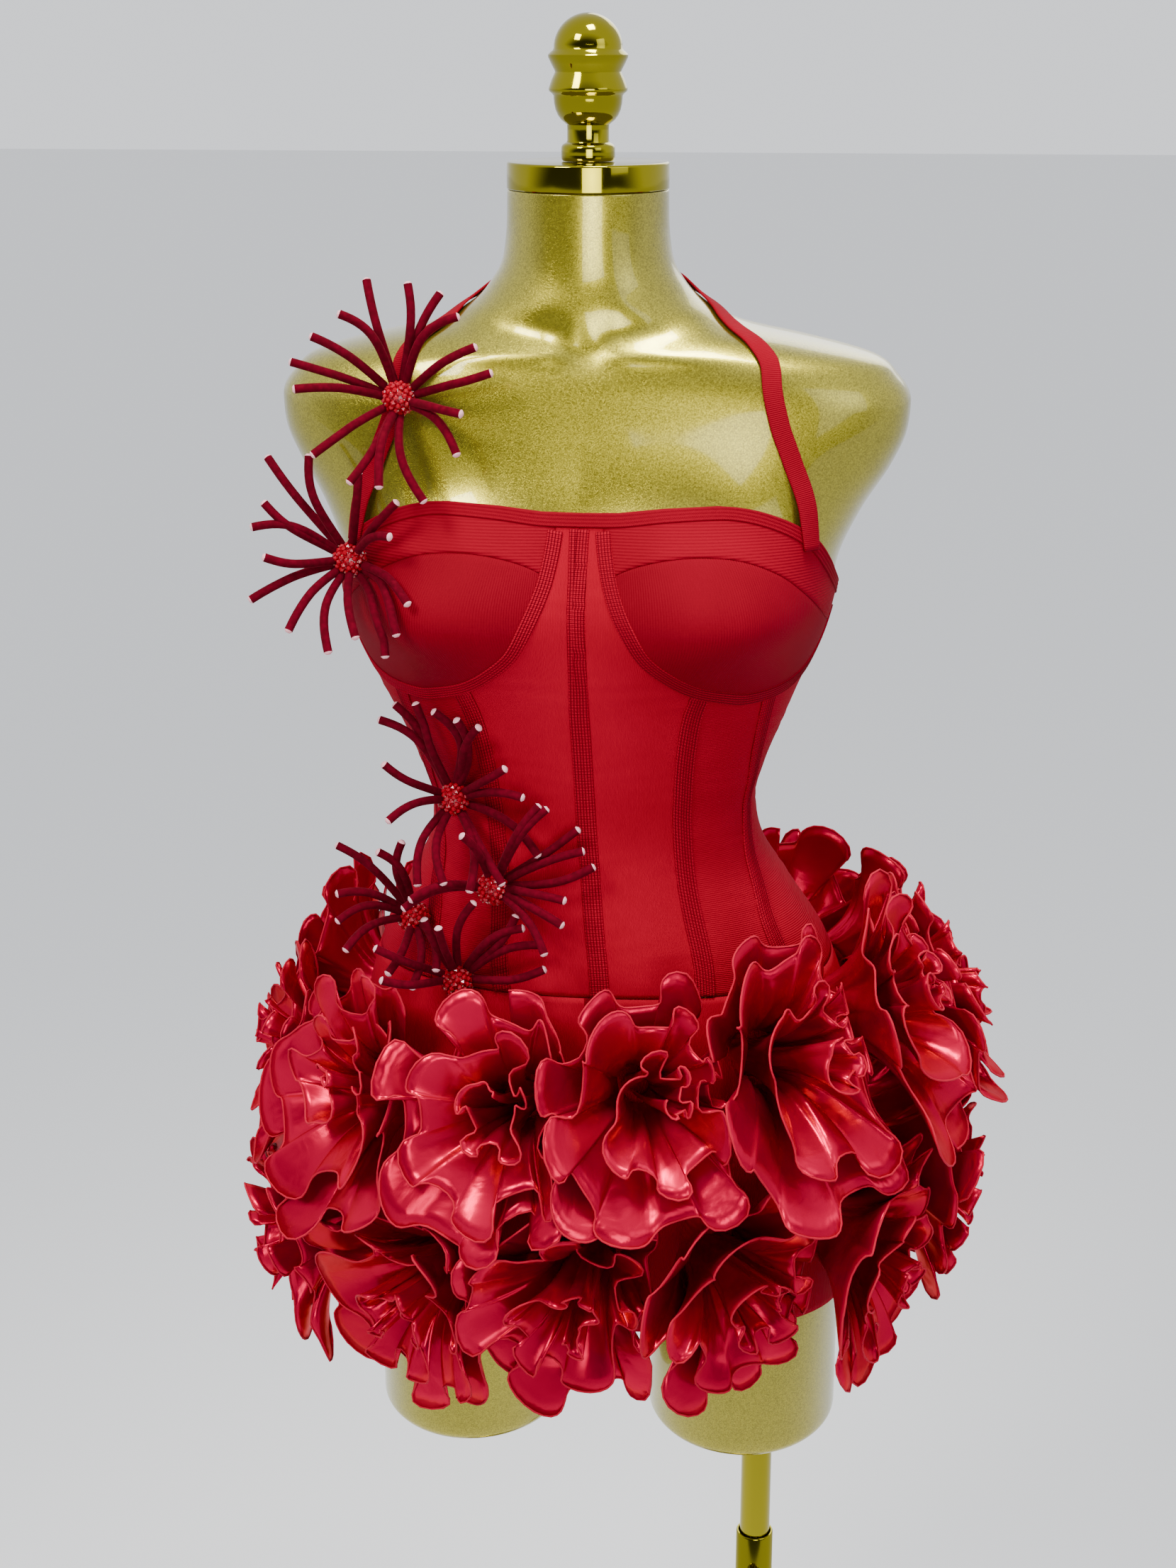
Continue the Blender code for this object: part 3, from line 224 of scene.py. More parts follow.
# Name, angle round the hips in degrees, height of the face, start of the spiral in degrees, size, waves
ROSETTES = [
    ("ruffle_upper_01", 10, 0.945, 200, 1.00, 6),
    ("ruffle_upper_02", 37, 0.968, 100, 1.10, 6),
    ("ruffle_upper_03", 66, 0.985, 330, 1.00, 6),
    ("ruffle_upper_04", 94, 0.972, 60, 1.00, 6),
    ("ruffle_upper_05", 119, 0.966, 240, 1.00, 5),
    ("ruffle_upper_06", 144, 0.968, 20, 1.00, 5),
    ("ruffle_upper_07", 168, 0.950, 150, 0.95, 5),
    ("ruffle_upper_08", -166, 0.946, 290, 0.95, 5),
    ("ruffle_upper_09", -140, 0.944, 80, 1.00, 5),
    ("ruffle_upper_10", -112, 0.940, 210, 1.00, 5),
    ("ruffle_upper_11", -80, 0.910, 330, 0.97, 6),
    ("ruffle_upper_12", -46, 0.918, 130, 1.06, 6),
    ("ruffle_upper_13", -15, 0.930, 20, 1.04, 6),
    ("ruffle_lower_01", 0, 0.795, 160, 1.02, 6),
    ("ruffle_lower_02", 25, 0.800, 300, 0.98, 6),
    ("ruffle_lower_03", 57, 0.802, 40, 1.06, 6),
    ("ruffle_lower_04", 88, 0.828, 190, 0.98, 6),
    ("ruffle_lower_05", 118, 0.815, 90, 1.02, 5),
    ("ruffle_lower_06", 149, 0.805, 320, 1.02, 5),
    ("ruffle_lower_07", 180, 0.800, 230, 1.00, 5),
    ("ruffle_lower_08", -149, 0.794, 20, 1.02, 5),
    ("ruffle_lower_09", -112, 0.782, 140, 1.05, 5),
    ("ruffle_lower_10", -74, 0.765, 60, 1.00, 6),
    ("ruffle_lower_11", -31, 0.777, 350, 1.06, 6),
]
FACE_CENTRE_X = 0.016
FACE_SIDE = 0.232
FACE_FRONT = 0.165
FACE_BACK = 0.190
LOWER_WIDER = 0.010
ROOT_SIDE = 0.168
ROOT_FRONT = 0.104
ROOT_BACK = 0.125
ROOT_SPREAD = 0.76

# Name, angle, height, what is under the head, and the strands as (direction in degrees, reach in metres)
FLOWERS = [
    ("flower_shoulder", -59.9, 1.361, ON_STRAP - 0.0009, [
        (-145, 0.060), (-117, 0.060), (-100, 0.055), (-75, 0.064), (-45, 0.052), (-20, 0.042), (12, 0.058),
        (30, 0.055), (52, 0.060), (68, 0.069), (84, 0.066), (105, 0.072), (125, 0.058), (144, 0.062),
        (162, 0.066), (178, 0.060)]),
    ("flower_bust", -60.0, 1.262, ON_PANEL, [
        (-158, 0.062), (-128, 0.055), (-100, 0.058), (-82, 0.050), (-68, 0.064), (-50, 0.058), (-32, 0.050),
        (20, 0.030), (45, 0.045), (80, 0.050), (110, 0.066), (128, 0.080), (145, 0.060), (160, 0.060),
        (178, 0.048)]),
    ("flower_under_bust", -49.5, 1.112, ON_PANEL, [
        (-165, 0.040), (-112, 0.056), (-95, 0.052), (-78, 0.056), (-58, 0.060), (-32, 0.064), (5, 0.045),
        (32, 0.040), (60, 0.062), (76, 0.058), (92, 0.060), (106, 0.064), (118, 0.072), (131, 0.070),
        (150, 0.048)]),
    ("flower_waist", -34.7, 1.052, ON_CHANNEL, [
        (-48, 0.050), (-22, 0.048), (-3, 0.046), (14, 0.066), (26, 0.064), (38, 0.070), (57, 0.064),
        (78, 0.064), (100, 0.040), (170, 0.050), (-172, 0.055)]),
    ("flower_side_waist", -61.0, 1.020, ON_CHANNEL - 0.0009, [
        (-112, 0.036), (-88, 0.040), (-60, 0.034), (96, 0.050), (115, 0.048), (135, 0.068), (158, 0.050),
        (178, 0.046), (-158, 0.044)]),
    ("flower_hip", -44.4, 0.990, ON_PANEL, [
        (12, 0.058), (26, 0.060), (42, 0.058), (58, 0.060), (77, 0.054), (104, 0.040), (130, 0.046),
        (153, 0.056), (172, 0.046)]),
]
VIEW_RIGHT = np.array([0.9945, 0.1045, 0.0])
VIEW_OUT = np.array([0.0995, -0.9464, 0.3074])
VIEW_UP = np.cross(VIEW_OUT, VIEW_RIGHT)

FLOOR_HALF = 30
# Name, place, aim, size, power, spread in degrees, tint
LIGHTS = [
    ("key_light", (-1.2, -1.7, 3.0), (0, 0, 1.15), 0.8, 10.5, 70, (1.0, 0.97, 0.93)),
    ("fill_light", (2.2, -1.8, 2.3), (0, 0, 1.1), 1.4, 2.4, 70, (0.95, 0.97, 1.0)),
    ("top_light", (0.3, -0.5, 3.3), (0, 0, 1.0), 0.6, 7.0, 56, (1.0, 0.98, 0.95)),
    ("front_light", (0.45, -2.3, 1.50), (0, 0, 1.42), 1.1, 4.0, 56, (1.0, 0.98, 0.96)),
    ("back_light", (0.6, 2.4, 2.4), (0, 0, 1.1), 1.6, 4.5, 70, (1.0, 1.0, 1.0)),
]


# Torso surface

def smooth_table(xs, ys, x):
    """A curve through a table's points that doesn't swing past them."""
    xs = np.asarray(xs, float)
    ys = np.asarray(ys, float)
    x = np.clip(np.asarray(x, float), xs[0], xs[-1])
    h = np.diff(xs)
    d = np.diff(ys) / h
    m = np.zeros_like(ys)
    mean = (h[1:] * d[:-1] + h[:-1] * d[1:]) / (h[1:] + h[:-1])
    limit = 3 * np.minimum(np.abs(d[:-1]), np.abs(d[1:]))
    m[1:-1] = np.where(d[:-1] * d[1:] > 0, np.sign(d[:-1]) * np.minimum(np.abs(mean), limit), 0)
    m[0] = d[0]
    m[-1] = d[-1]
    i = np.clip(np.searchsorted(xs, x) - 1, 0, len(h) - 1)
    t = (x - xs[i]) / h[i]
    first = (1 + 2 * t) * (1 - t) ** 2 * ys[i] + t * (1 - t) ** 2 * h[i] * m[i]
    return first + t * t * (3 - 2 * t) * ys[i + 1] + t * t * (t - 1) * h[i] * m[i + 1]


RISING = np.array(SECTIONS)[::-1]


def section(column, z):
    return smooth_table(RISING[:, 0], RISING[:, column], z)


def torso_radius(z, phi):
    """Distance of the form's surface from its centre line."""
    z = np.asarray(z, float)
    phi = (np.asarray(phi, float) + math.pi) % (2 * math.pi) - math.pi
    depth = np.where(np.cos(phi) > 0, section(2, z), section(3, z))
    power = section(5, z)
    across = (np.abs(np.sin(phi)) / section(1, z)) ** power
    r = (across + (np.abs(np.cos(phi)) / depth) ** power) ** (-1 / power)
    along = (np.abs(phi) - math.radians(CUP_ANGLE)) * CUP_ARC / CUP_SPREAD_SIDE
    up = z - CUP_HEIGHT
    down = up / np.where(up > 0, CUP_SPREAD_UP, CUP_SPREAD_DOWN)
    r = r + CUP_RISE * np.exp(-along ** 2 - down ** 2)
    under_cloth = np.clip((1.36 - z) / 0.06, 0, 1)
    return r - FORM_INSET * under_cloth * under_cloth * (3 - 2 * under_cloth)


def torso_point(z, phi):
    z, phi = np.broadcast_arrays(np.asarray(z, float), np.asarray(phi, float))
    r = torso_radius(z, phi)
    return np.stack([section(4, z) + r * np.sin(phi), -r * np.cos(phi), z], -1)


def torso_normal(z, phi):
    z, phi = np.broadcast_arrays(np.asarray(z, float), np.asarray(phi, float))
    step = 5e-4
    n = np.cross(
        torso_point(z, phi + step) - torso_point(z, phi - step),
        torso_point(z + step, phi) - torso_point(z - step, phi))
    return n / np.linalg.norm(n, axis=-1, keepdims=True)


def skin(z, phi, off):
    """A point this far out from the form's surface."""
    return torso_point(z, phi) + np.asarray(off)[..., None] * torso_normal(z, phi)


def pushed_out(points, least):
    """The points, moved level and outwards where they lie closer to the form than this."""
    x = points[..., 0] - section(4, points[..., 2])
    y = points[..., 1]
    phi = np.arctan2(x, -y)
    need = np.maximum(least - (np.hypot(x, y) - torso_radius(points[..., 2], phi)), 0)
    moved = points.copy()
    moved[..., 0] += need * np.sin(phi)
    moved[..., 1] -= need * np.cos(phi)
    return moved


def twist(z):
    """The garment sits a little turned on the form, and more so lower down."""
    return np.radians(0.8 + (1.298 - np.asarray(z, float)) * 9.0)


def run_length(line):
    metric = np.stack([line[:, 0], line[:, 1] * 0.12], -1)
    return np.concatenate([[0], np.cumsum(np.linalg.norm(np.diff(metric, axis=0), axis=1))])


def on_line(table, count, side):
    """Evenly spaced points along a seam line of one half, as an array of (height, angle)."""
    line = np.array([(z, math.radians(a)) for a, z in table])
    run = run_length(line)
    at = np.linspace(0, run[-1], count)
    return np.stack([smooth_table(run, line[:, 0], at), side * smooth_table(run, line[:, 1], at)], -1)


def resampled(line, count):
    run = run_length(line)
    at = np.linspace(0, run[-1], count)
    return np.stack([np.interp(at, run, line[:, 0]), np.interp(at, run, line[:, 1])], -1)


def ruled(first, second, columns):
    """A grid of (height, angle) between two lines with as many points each."""
    t = np.linspace(0, 1, columns)[None, :, None]
    return first[:, None] * (1 - t) + second[:, None] * t


def nearest_on(line, point):
    return int(np.argmin(np.hypot(line[:, 0] - point[0], (line[:, 1] - point[1]) * 0.12)))


def top_height(phi):
    return np.interp(np.abs(phi), np.radians([a for a, _ in TOP_LINE]), [z for _, z in TOP_LINE])


def strip(line, width, columns):
    """A grid that follows a line, this wide on the surface."""
    z = line[:, 0]
    phi = line[:, 1]
    run = np.gradient(torso_point(z, phi), axis=0)
    run /= np.linalg.norm(run, axis=1, keepdims=True)
    across = np.cross(torso_normal(z, phi), run)
    step = 5e-4
    by_z = (torso_point(z + step, phi) - torso_point(z - step, phi)) / (2 * step)
    by_phi = (torso_point(z, phi + step) - torso_point(z, phi - step)) / (2 * step)
    a = (by_z * by_z).sum(1)
    b = (by_z * by_phi).sum(1)
    c = (by_phi * by_phi).sum(1)
    p = (across * by_z).sum(1)
    q = (across * by_phi).sum(1)
    det = a * c - b * b
    d = np.stack([(c * p - b * q) / det, (a * q - b * p) / det], -1)
    return np.stack([line + d * width * share for share in np.linspace(-0.5, 0.5, columns)], 1)


# Materials

def node(tree, kind, **values):
    """A new node with values for its sockets, or for its own settings where a name starts with set_."""
    made = tree.nodes.new(kind)
    for name, value in values.items():
        if name.startswith("set_"):
            setattr(made, name[4:], value)
        else:
            made.inputs[name.replace("_", " ")].default_value = value
    return made


def plain(name, colour, rough, metal=0.0, **sockets):
    """A Principled material, with more of its sockets by name."""
    made = bpy.data.materials.new(name)
    made.use_nodes = True
    shader = shader_of(made)
    shader.inputs["Base Color"].default_value = (*colour, 1)
    shader.inputs["Roughness"].default_value = rough
    shader.inputs["Metallic"].default_value = metal
    for socket, value in sockets.items():
        shader.inputs[socket.replace("_", " ")].default_value = value
    return made


def shader_of(look):
    return look.node_tree.nodes["Principled BSDF"]


def on_piece(tree, kind, **values):
    """A texture on the piece's own coordinates, which are in metres."""
    made = node(tree, kind, **values)
    where = tree.nodes.new("ShaderNodeTexCoord")
    tree.links.new(where.outputs["Object"], made.inputs["Vector"])
    return made


def bands(tree, pitch, axis):
    """Waves this far apart in one direction of the cloth's own map, which is in metres."""
    made = node(tree, "ShaderNodeTexWave", Scale=WAVE_SCALE / pitch, set_bands_direction=axis)
    uv = node(tree, "ShaderNodeUVMap", set_uv_map="cloth")
    tree.links.new(uv.outputs["UV"], made.inputs["Vector"])
    return made.outputs["Fac"]


def combined(tree, operation, first, second):
    """The result of a sum on an output and either another output or a number."""
    made = node(tree, "ShaderNodeMath", set_operation=operation)
    tree.links.new(first, made.inputs[0])
    if isinstance(second, float):
        made.inputs[1].default_value = second
    else:
        tree.links.new(second, made.inputs[1])
    return made.outputs[0]


def ramp(tree, first, last):
    """A colour ramp between two pairs of a position and a colour."""
    made = tree.nodes.new("ShaderNodeValToRGB")
    for element, (position, colour) in zip(made.color_ramp.elements, (first, last)):
        element.position = position
        element.color = (*colour, 1)
    return made


def bumped(look, height, strength, distance):
    tree = look.node_tree
    bump = node(tree, "ShaderNodeBump", Strength=strength, Distance=distance)
    tree.links.new(height, bump.inputs["Height"])
    tree.links.new(bump.outputs["Normal"], shader_of(look).inputs["Normal"])


def mottled(look, dark, light, scale, detail=2.0):
    """Varies the base colour between two shades in soft patches."""
    tree = look.node_tree
    noise = on_piece(tree, "ShaderNodeTexNoise", Scale=scale, Detail=detail)
    shades = ramp(tree, (0.35, dark), (0.65, light))
    tree.links.new(noise.outputs["Fac"], shades.inputs["Fac"])
    tree.links.new(shades.outputs["Color"], shader_of(look).inputs["Base Color"])


def ribbed(look, pitch, direction):
    """Raised ribs in one direction of the cloth's map, with fainter rows of stitches across them."""
    tree = look.node_tree
    across = "Y" if direction == "X" else "X"
    ribs = combined(tree, "MULTIPLY", bands(tree, pitch, direction), RIB_DEPTH)
    rows = combined(tree, "MULTIPLY", bands(tree, ROW_PITCH, across), ROW_DEPTH)
    bumped(look, combined(tree, "ADD", ribs, rows), 1.0, 1.0)


def wrinkled(look, scale, depth):
    """Soft uneven wrinkles."""
    noise = on_piece(
        look.node_tree, "ShaderNodeTexNoise", Scale=scale, Detail=2.5, Roughness=0.45, Distortion=0.6)
    bumped(look, noise.outputs["Fac"], 0.9, depth)


def groove_shade_and_rungs(look, dark, light, pitch, cross_pitch):
    """Dark lines along a tape, set at the pitch of its ribs so that they lie in the grooves as painted
    shade, crossed by the fainter rungs of its ladder stitches.
    """
    tree = look.node_tree
    shades = []
    for spacing, axis, low in ((pitch, "X", 0.0), (cross_pitch, "Y", 0.45)):
        spread = node(tree, "ShaderNodeMapRange", From_Min=0.05, From_Max=0.55, To_Min=low)
        tree.links.new(bands(tree, spacing, axis), spread.inputs["Value"])
        shades.append(spread.outputs["Result"])
    mix = node(tree, "ShaderNodeMix", set_data_type="RGBA")
    colours = [socket for socket in mix.inputs if socket.type == "RGBA"]
    colours[0].default_value = (*dark, 1)
    colours[1].default_value = (*light, 1)
    result = [socket for socket in mix.outputs if socket.type == "RGBA"][0]
    tree.links.new(combined(tree, "MULTIPLY", *shades), mix.inputs[0])
    tree.links.new(result, shader_of(look).inputs["Base Color"])


def knit(name, pitch, direction, shade):
    dark = tuple(shade * c for c in (0.300, 0.0006, 0.0130))
    light = tuple(shade * c for c in (0.375, 0.0009, 0.0180))
    look = plain(name, light, 0.75, Specular_IOR_Level=0.04)
    mottled(look, dark, light, 9.0, 3.0)
    ribbed(look, pitch, direction)
    return look


def satin(name, dark, light):
    look = plain(
        name, light, 0.28, 0.72, Specular_IOR_Level=0.1, Anisotropic=0.3, Specular_Tint=(1.0, 0.16, 0.22, 1))
    mottled(look, dark, light, 14.0)
    wrinkled(look, 42.0, 0.0016)
    return look


def lacquer():
    """Clear lacquer over metal flake: fine bright grains in an olive gold."""
    look = plain("flake_lacquer", (0.36, 0.30, 0.02), 0.27, 0.90, Coat_Weight=0.7, Coat_Roughness=0.05)
    tree = look.node_tree
    grain = on_piece(tree, "ShaderNodeTexVoronoi", Scale=1500.0)
    broad = on_piece(tree, "ShaderNodeTexNoise", Scale=5.0, Detail=2.0)
    shades = ramp(tree, (0.15, (0.17, 0.140, 0.005)), (0.85, (0.50, 0.440, 0.045)))
    mix = node(tree, "ShaderNodeMix", set_data_type="FLOAT", Factor=0.5)
    tree.links.new(grain.outputs["Color"], mix.inputs["A"])
    tree.links.new(broad.outputs["Fac"], mix.inputs["B"])
    tree.links.new(mix.outputs["Result"], shades.inputs["Fac"])
    tree.links.new(shades.outputs["Color"], shader_of(look).inputs["Base Color"])
    bumped(look, grain.outputs["Color"], 0.22, 0.0002)
    return look


def polished(name, colour, rough):
    """Polished metal, a little duller in some places than in others."""
    look = plain(name, colour, rough, 1.0)
    tree = look.node_tree
    noise = on_piece(tree, "ShaderNodeTexNoise", Scale=26.0, Detail=4.0)
    spread = node(tree, "ShaderNodeMapRange", To_Min=rough * 0.75, To_Max=rough * 1.5)
    tree.links.new(noise.outputs["Fac"], spread.inputs["Value"])
    tree.links.new(spread.outputs["Result"], shader_of(look).inputs["Roughness"])
    return look


def velvet():
    look = plain(
        "strand_velvet", (0.078, 0.001, 0.006), 0.9, Sheen_Weight=0.14, Sheen_Roughness=0.35,
        Specular_IOR_Level=0.04, Sheen_Tint=(0.80, 0.03, 0.09, 1))
    mottled(look, (0.062, 0.0006, 0.0045), (0.094, 0.0010, 0.0072), 300.0)
    return look


PANEL_KNIT = knit("panel_knit", 0.0011, "X", 0.94)
SIDE_KNIT = knit("side_knit", 0.0012, "Y", 0.82)
CUP_KNIT = knit("cup_knit", 0.0013, "X", 0.50)
BAND_KNIT = knit("band_knit", 0.0018, "Y", 0.58)
# The tapes' knit is darker than the panels': partly their own tone, and partly painted shade, as the strap
# faces the lamps
SHADED_TAPE_KNIT = knit("shaded_tape_knit", 0.0012, "Y", 0.58)
CHANNEL_KNIT = knit("channel_knit", 0.0012, "Y", 0.76)
# Painted shade: dark lines in the grooves between the channels' ribs, with the rungs of their ladder
# stitches
groove_shade_and_rungs(CHANNEL_KNIT, (0.105, 0.0002, 0.0045), (0.300, 0.0007, 0.0140), CHANNEL_WIDTH / 6, 0.0022)
SATIN = satin("ruffle_satin", (0.38, 0.0006, 0.026), (0.54, 0.0014, 0.041))
OVERLOCK = plain("overlock_thread", (0.40, 0.004, 0.024), 0.7, Specular_IOR_Level=0.1)
VELVET = velvet()
CUT_END = plain("cut_end", (0.72, 0.34, 0.38), 0.85)
RUBY = plain("ruby_bead", (0.30, 0.0008, 0.011), 0.08, Specular_IOR_Level=0.45)
# Pale metal seeds, painted glints among the ruby beads
GLINT_SEED = plain("glint_seed_bead", (0.80, 0.42, 0.32), 0.12, 0.8)
LACQUER = lacquer()
GOLD = polished("polished_gold", (0.28, 0.240, 0.014), 0.07)
ZIP_METAL = polished("zip_metal", (0.56, 0.56, 0.58), 0.28)
FLOOR = plain("floor", (0.84, 0.845, 0.85), 0.75)


# Meshes

def placed(name, data):
    """A new object in the scene."""
    made = bpy.data.objects.new(name, data)
    bpy.context.scene.collection.objects.link(made)
    return made


def mesh_object(name, points, faces, looks, slots=None, uv=None):
    """A smooth mesh object from plain arrays.

    slots has a material index for each face, and uv a place on the cloth's map for each point.
    """
    mesh = bpy.data.meshes.new(name)
    mesh.from_pydata([tuple(p) for p in np.asarray(points, float)], [], faces)
    for look in looks:
        mesh.materials.append(look)
    if slots is not None:
        mesh.polygons.foreach_set("material_index", slots)
    if uv is not None:
        layer = mesh.uv_layers.new(name="cloth")
        corner = np.array([i for face in faces for i in face])
        layer.data.foreach_set("uv", np.asarray(uv, np.float32)[corner].ravel())
    mesh.shade_smooth()
    return placed(name, mesh)


def from_bmesh(name, made, looks):
    mesh = bpy.data.meshes.new(name)
    made.to_mesh(mesh)
    made.free()
    for look in looks:
        mesh.materials.append(look)
    return placed(name, mesh)


def wall_faces(rows, columns, closed=False):
    """Faces of a wall between two grids, the outer one first, closed round its edges."""
    behind = rows * columns
    faces = []
    last = columns if closed else columns - 1
    for i in range(rows - 1):
        for j in range(last):
            k = (j + 1) % columns
            a, b, c, d = i * columns + j, i * columns + k, (i + 1) * columns + k, (i + 1) * columns + j
            faces.append((a, b, c, d))
            faces.append((behind + d, behind + c, behind + b, behind + a))
    for j in range(last):
        k = (j + 1) % columns
        low = (rows - 1) * columns
        faces.append((behind + j, behind + k, k, j))
        faces.append((low + j, low + k, behind + low + k, behind + low + j))
    if not closed:
        for i in range(rows - 1):
            a, d = i * columns, (i + 1) * columns
            faces.append((a, d, behind + d, behind + a))
            b, c = a + columns - 1, d + columns - 1
            faces.append((behind + b, behind + c, c, b))
    return faces


def faces_out(points, faces):
    """The faces, turned round if they face inwards as a whole."""
    volume = 0.0
    for face in faces:
        a, b, c = points[face[0]], points[face[1]], points[face[2]]
        volume += a @ np.cross(b, c)
        if len(face) == 4:
            volume += a @ np.cross(c, points[face[3]])
    return faces if volume > 0 else [tuple(reversed(face)) for face in faces]


def steps_of(points, axis):
    """The distances between neighbouring points of a grid, down its columns or along its rows."""
    return np.linalg.norm(np.diff(points, axis=axis), axis=-1)


def run_lengths(points, axis):
    """How far down its column or along its row each point of a grid lies."""
    return np.insert(np.cumsum(steps_of(points, axis), axis=axis), 0, 0, axis=axis)


def wall(name, outer, inner, look, uv, closed=False):
    """A wall between two grids of points, with the same map on both sides."""
    points = np.concatenate([outer.reshape(-1, 3), inner.reshape(-1, 3)])
    faces = faces_out(points, wall_faces(*outer.shape[:2], closed))
    uv = uv.reshape(-1, 2)
    return mesh_object(name, points, faces, [look], uv=np.concatenate([uv, uv]))


def finished(made, body, nodes):
    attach(made, body)
    if nodes:
        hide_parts(*nodes)


def cloth(name, grid, look, low, high, relief=0.0, trim=False, closed=False):
    """A piece of cloth on the torso, from its grid of (height, angle), standing for the node of that name.

    low and high are how far out its two sides lie. A trim has a map that follows its own run.
    """
    z = grid[..., 0]
    phi = grid[..., 1] + twist(z)
    outer = skin(z, phi, np.full(z.shape, high) + relief)
    inner = skin(z, phi, np.full(z.shape, low))
    if trim:
        uv = np.stack([run_lengths(outer, 1), run_lengths(outer, 0)], -1)
    else:
        uv = np.stack([grid[..., 1] * MAP_RADIUS, z], -1)
    made = wall(name + "_cloth", outer, inner, look, uv, closed)
    finished(made, "torso", [name])
    return made


# Form and stand

def collar_relief(z, phi):
    """Collar bones: a low ridge on each side with a hollow above it, and the notch between them."""
    phi = np.abs((phi + math.pi) % (2 * math.pi) - math.pi)
    ridge_z = COLLAR_Z - 0.0015 * phi ** 2
    along = np.clip((phi - 0.10) / 0.25, 0, 1) * np.clip((1.10 - phi) / 0.35, 0, 1)
    ridge = COLLAR_RIDGE * np.exp(-((z - ridge_z) / 0.0052) ** 2) * along
    hollow = COLLAR_HOLLOW * np.exp(-((z - ridge_z - 0.0140) / 0.0100) ** 2) * along
    notch = COLLAR_NOTCH * np.exp(-(phi / 0.24) ** 2 - ((z - 1.3920) / 0.0110) ** 2)
    return ridge - hollow - notch


def torso_rings():
    """Rings of the torso, from the flat top of the neck to the rounded seat between the thighs."""
    heights = np.concatenate([
        [NECK_TOP, NECK_TOP - 0.0004],
        np.linspace(NECK_TOP - 0.0014, 1.30, 90),
        np.linspace(1.297, SEAT, 110)])
    phi = np.linspace(0, 2 * math.pi, 144, endpoint=False)
    rings = [skin(z, phi, collar_relief(z, phi)) for z in heights]
    centre = rings[0].mean(0)
    rings[0] = (rings[0] - centre) * 0.992 + centre
    last = rings[-1]
    middle = last.mean(0)
    for turn in np.linspace(0.12, 1, 9):
        angle = turn * math.pi / 2
        inwards = 0.55 + 0.45 * math.cos(angle)
        rings.append((last - middle) * inwards + middle - np.array([0, 0, SEAT_DEPTH * math.sin(angle)]))
    return rings


def thigh_rings(side):
    """Rings of one thigh, from inside the torso to its rounded lower edge."""
    around = np.linspace(0, 2 * math.pi, 72, endpoint=False)
    closing = THIGH_ROUND * (1 - np.sin(np.linspace(0.2, 1, 6) * math.pi / 2))
    heights = np.concatenate([
        np.linspace(THIGH_TOP, THIGH_BOTTOM + THIGH_ROUND, 40), THIGH_BOTTOM + closing])
    table = np.array(THIGHS)
    rings = []
    for z in heights:
        share = max(THIGH_BOTTOM + THIGH_ROUND - z, 0) / THIGH_ROUND
        inset = THIGH_ROUND * (1 - math.sqrt(1 - share ** 2))
        half = np.interp(z, table[:, 0], table[:, 1]) - inset
        deep = np.interp(z, table[:, 0], table[:, 2]) - inset
        x = THIGH_X + side * (THIGH_APART - max(z - SEAT, 0) * THIGH_LEAN)
        rings.append(np.stack([
            x + half * np.sin(around), THIGH_Y - deep * np.cos(around), np.full_like(around, z)], -1))
    return rings


def make_form():
    points = []
    faces = []
    start = 0
    for rings in (torso_rings(), thigh_rings(-1), thigh_rings(1)):
        n = len(rings[0])
        for i in range(len(rings) - 1):
            row = start + i * n
            for j in range(n):
                k = (j + 1) % n
                faces.append((row + k, row + j, row + n + j, row + n + k))
        faces.append(tuple(range(start, start + n)))
        points += rings
        start += n * len(rings)
        faces.append(tuple(range(start - 1, start - n - 1, -1)))
    made = mesh_object("form_shell", np.concatenate(points), faces, [LACQUER])
    made.data.set_sharp_from_angle(angle=math.radians(50))
    finished(made, "torso", ["form_body"])


def turned(name, profile, sides, body, nodes, at=(0, 0, 0), tilt=0.0):
    """A turned piece of gold metal from (radius, height) points, standing for these nodes."""
    points = []
    rings = []
    for radius, height in profile:
        if radius == 0:
            rings.append([len(points)])
            points.append((0, 0, height))
            continue
        rings.append(list(range(len(points), len(points) + sides)))
        for k in range(sides):
            angle = 2 * math.pi * k / sides
            points.append((radius * math.cos(angle), radius * math.sin(angle), height))
    faces = []
    pairs = list(zip(rings[:-1], rings[1:]))
    if profile[0][0] and profile[-1][0]:
        pairs.append((rings[-1], rings[0]))
    for first, second in pairs:
        for k in range(sides):
            n = (k + 1) % sides
            if len(first) == 1:
                faces.append((first[0], second[k], second[n]))
            elif len(second) == 1:
                faces.append((first[k], second[0], first[n]))
            else:
                faces.append((first[k], second[k], second[n], first[n]))
    points = np.array(points)
    if tilt:
        c, s = math.cos(tilt), math.sin(tilt)
        points = points @ np.array([[1, 0, 0], [0, c, s], [0, -s, c]])
    points = points + np.array(at)
    made = mesh_object(name, points, faces_out(points, faces), [GOLD])
    made.data.set_sharp_from_angle(angle=math.radians(38))
    finished(made, body, nodes)
    return made


def disc_profile(radius, low, top, bevel):
    """The profile of a disc with a rounded upper edge and a fine bevel below."""
    edge = [
        (radius - bevel * (1 - math.sin(a)), top - bevel * (1 - math.cos(a)))
        for a in np.linspace(0, math.pi / 2, 6)]
    return [(0, top)] + edge + [(radius, low + FINE_BEVEL), (radius - FINE_BEVEL, low), (0, low)]


def finial_profile():
    dome = [
        (FINIAL_RADIUS * math.sin(a), FINIAL_DOME + 0.0206 * math.cos(a))
        for a in np.linspace(0, math.pi / 2, 16)]
    dome[0] = (0, dome[0][1])
    return dome + FINIAL_TURNING + [(0.0156, CAP_TOP + SEAM), (0, CAP_TOP + SEAM)]


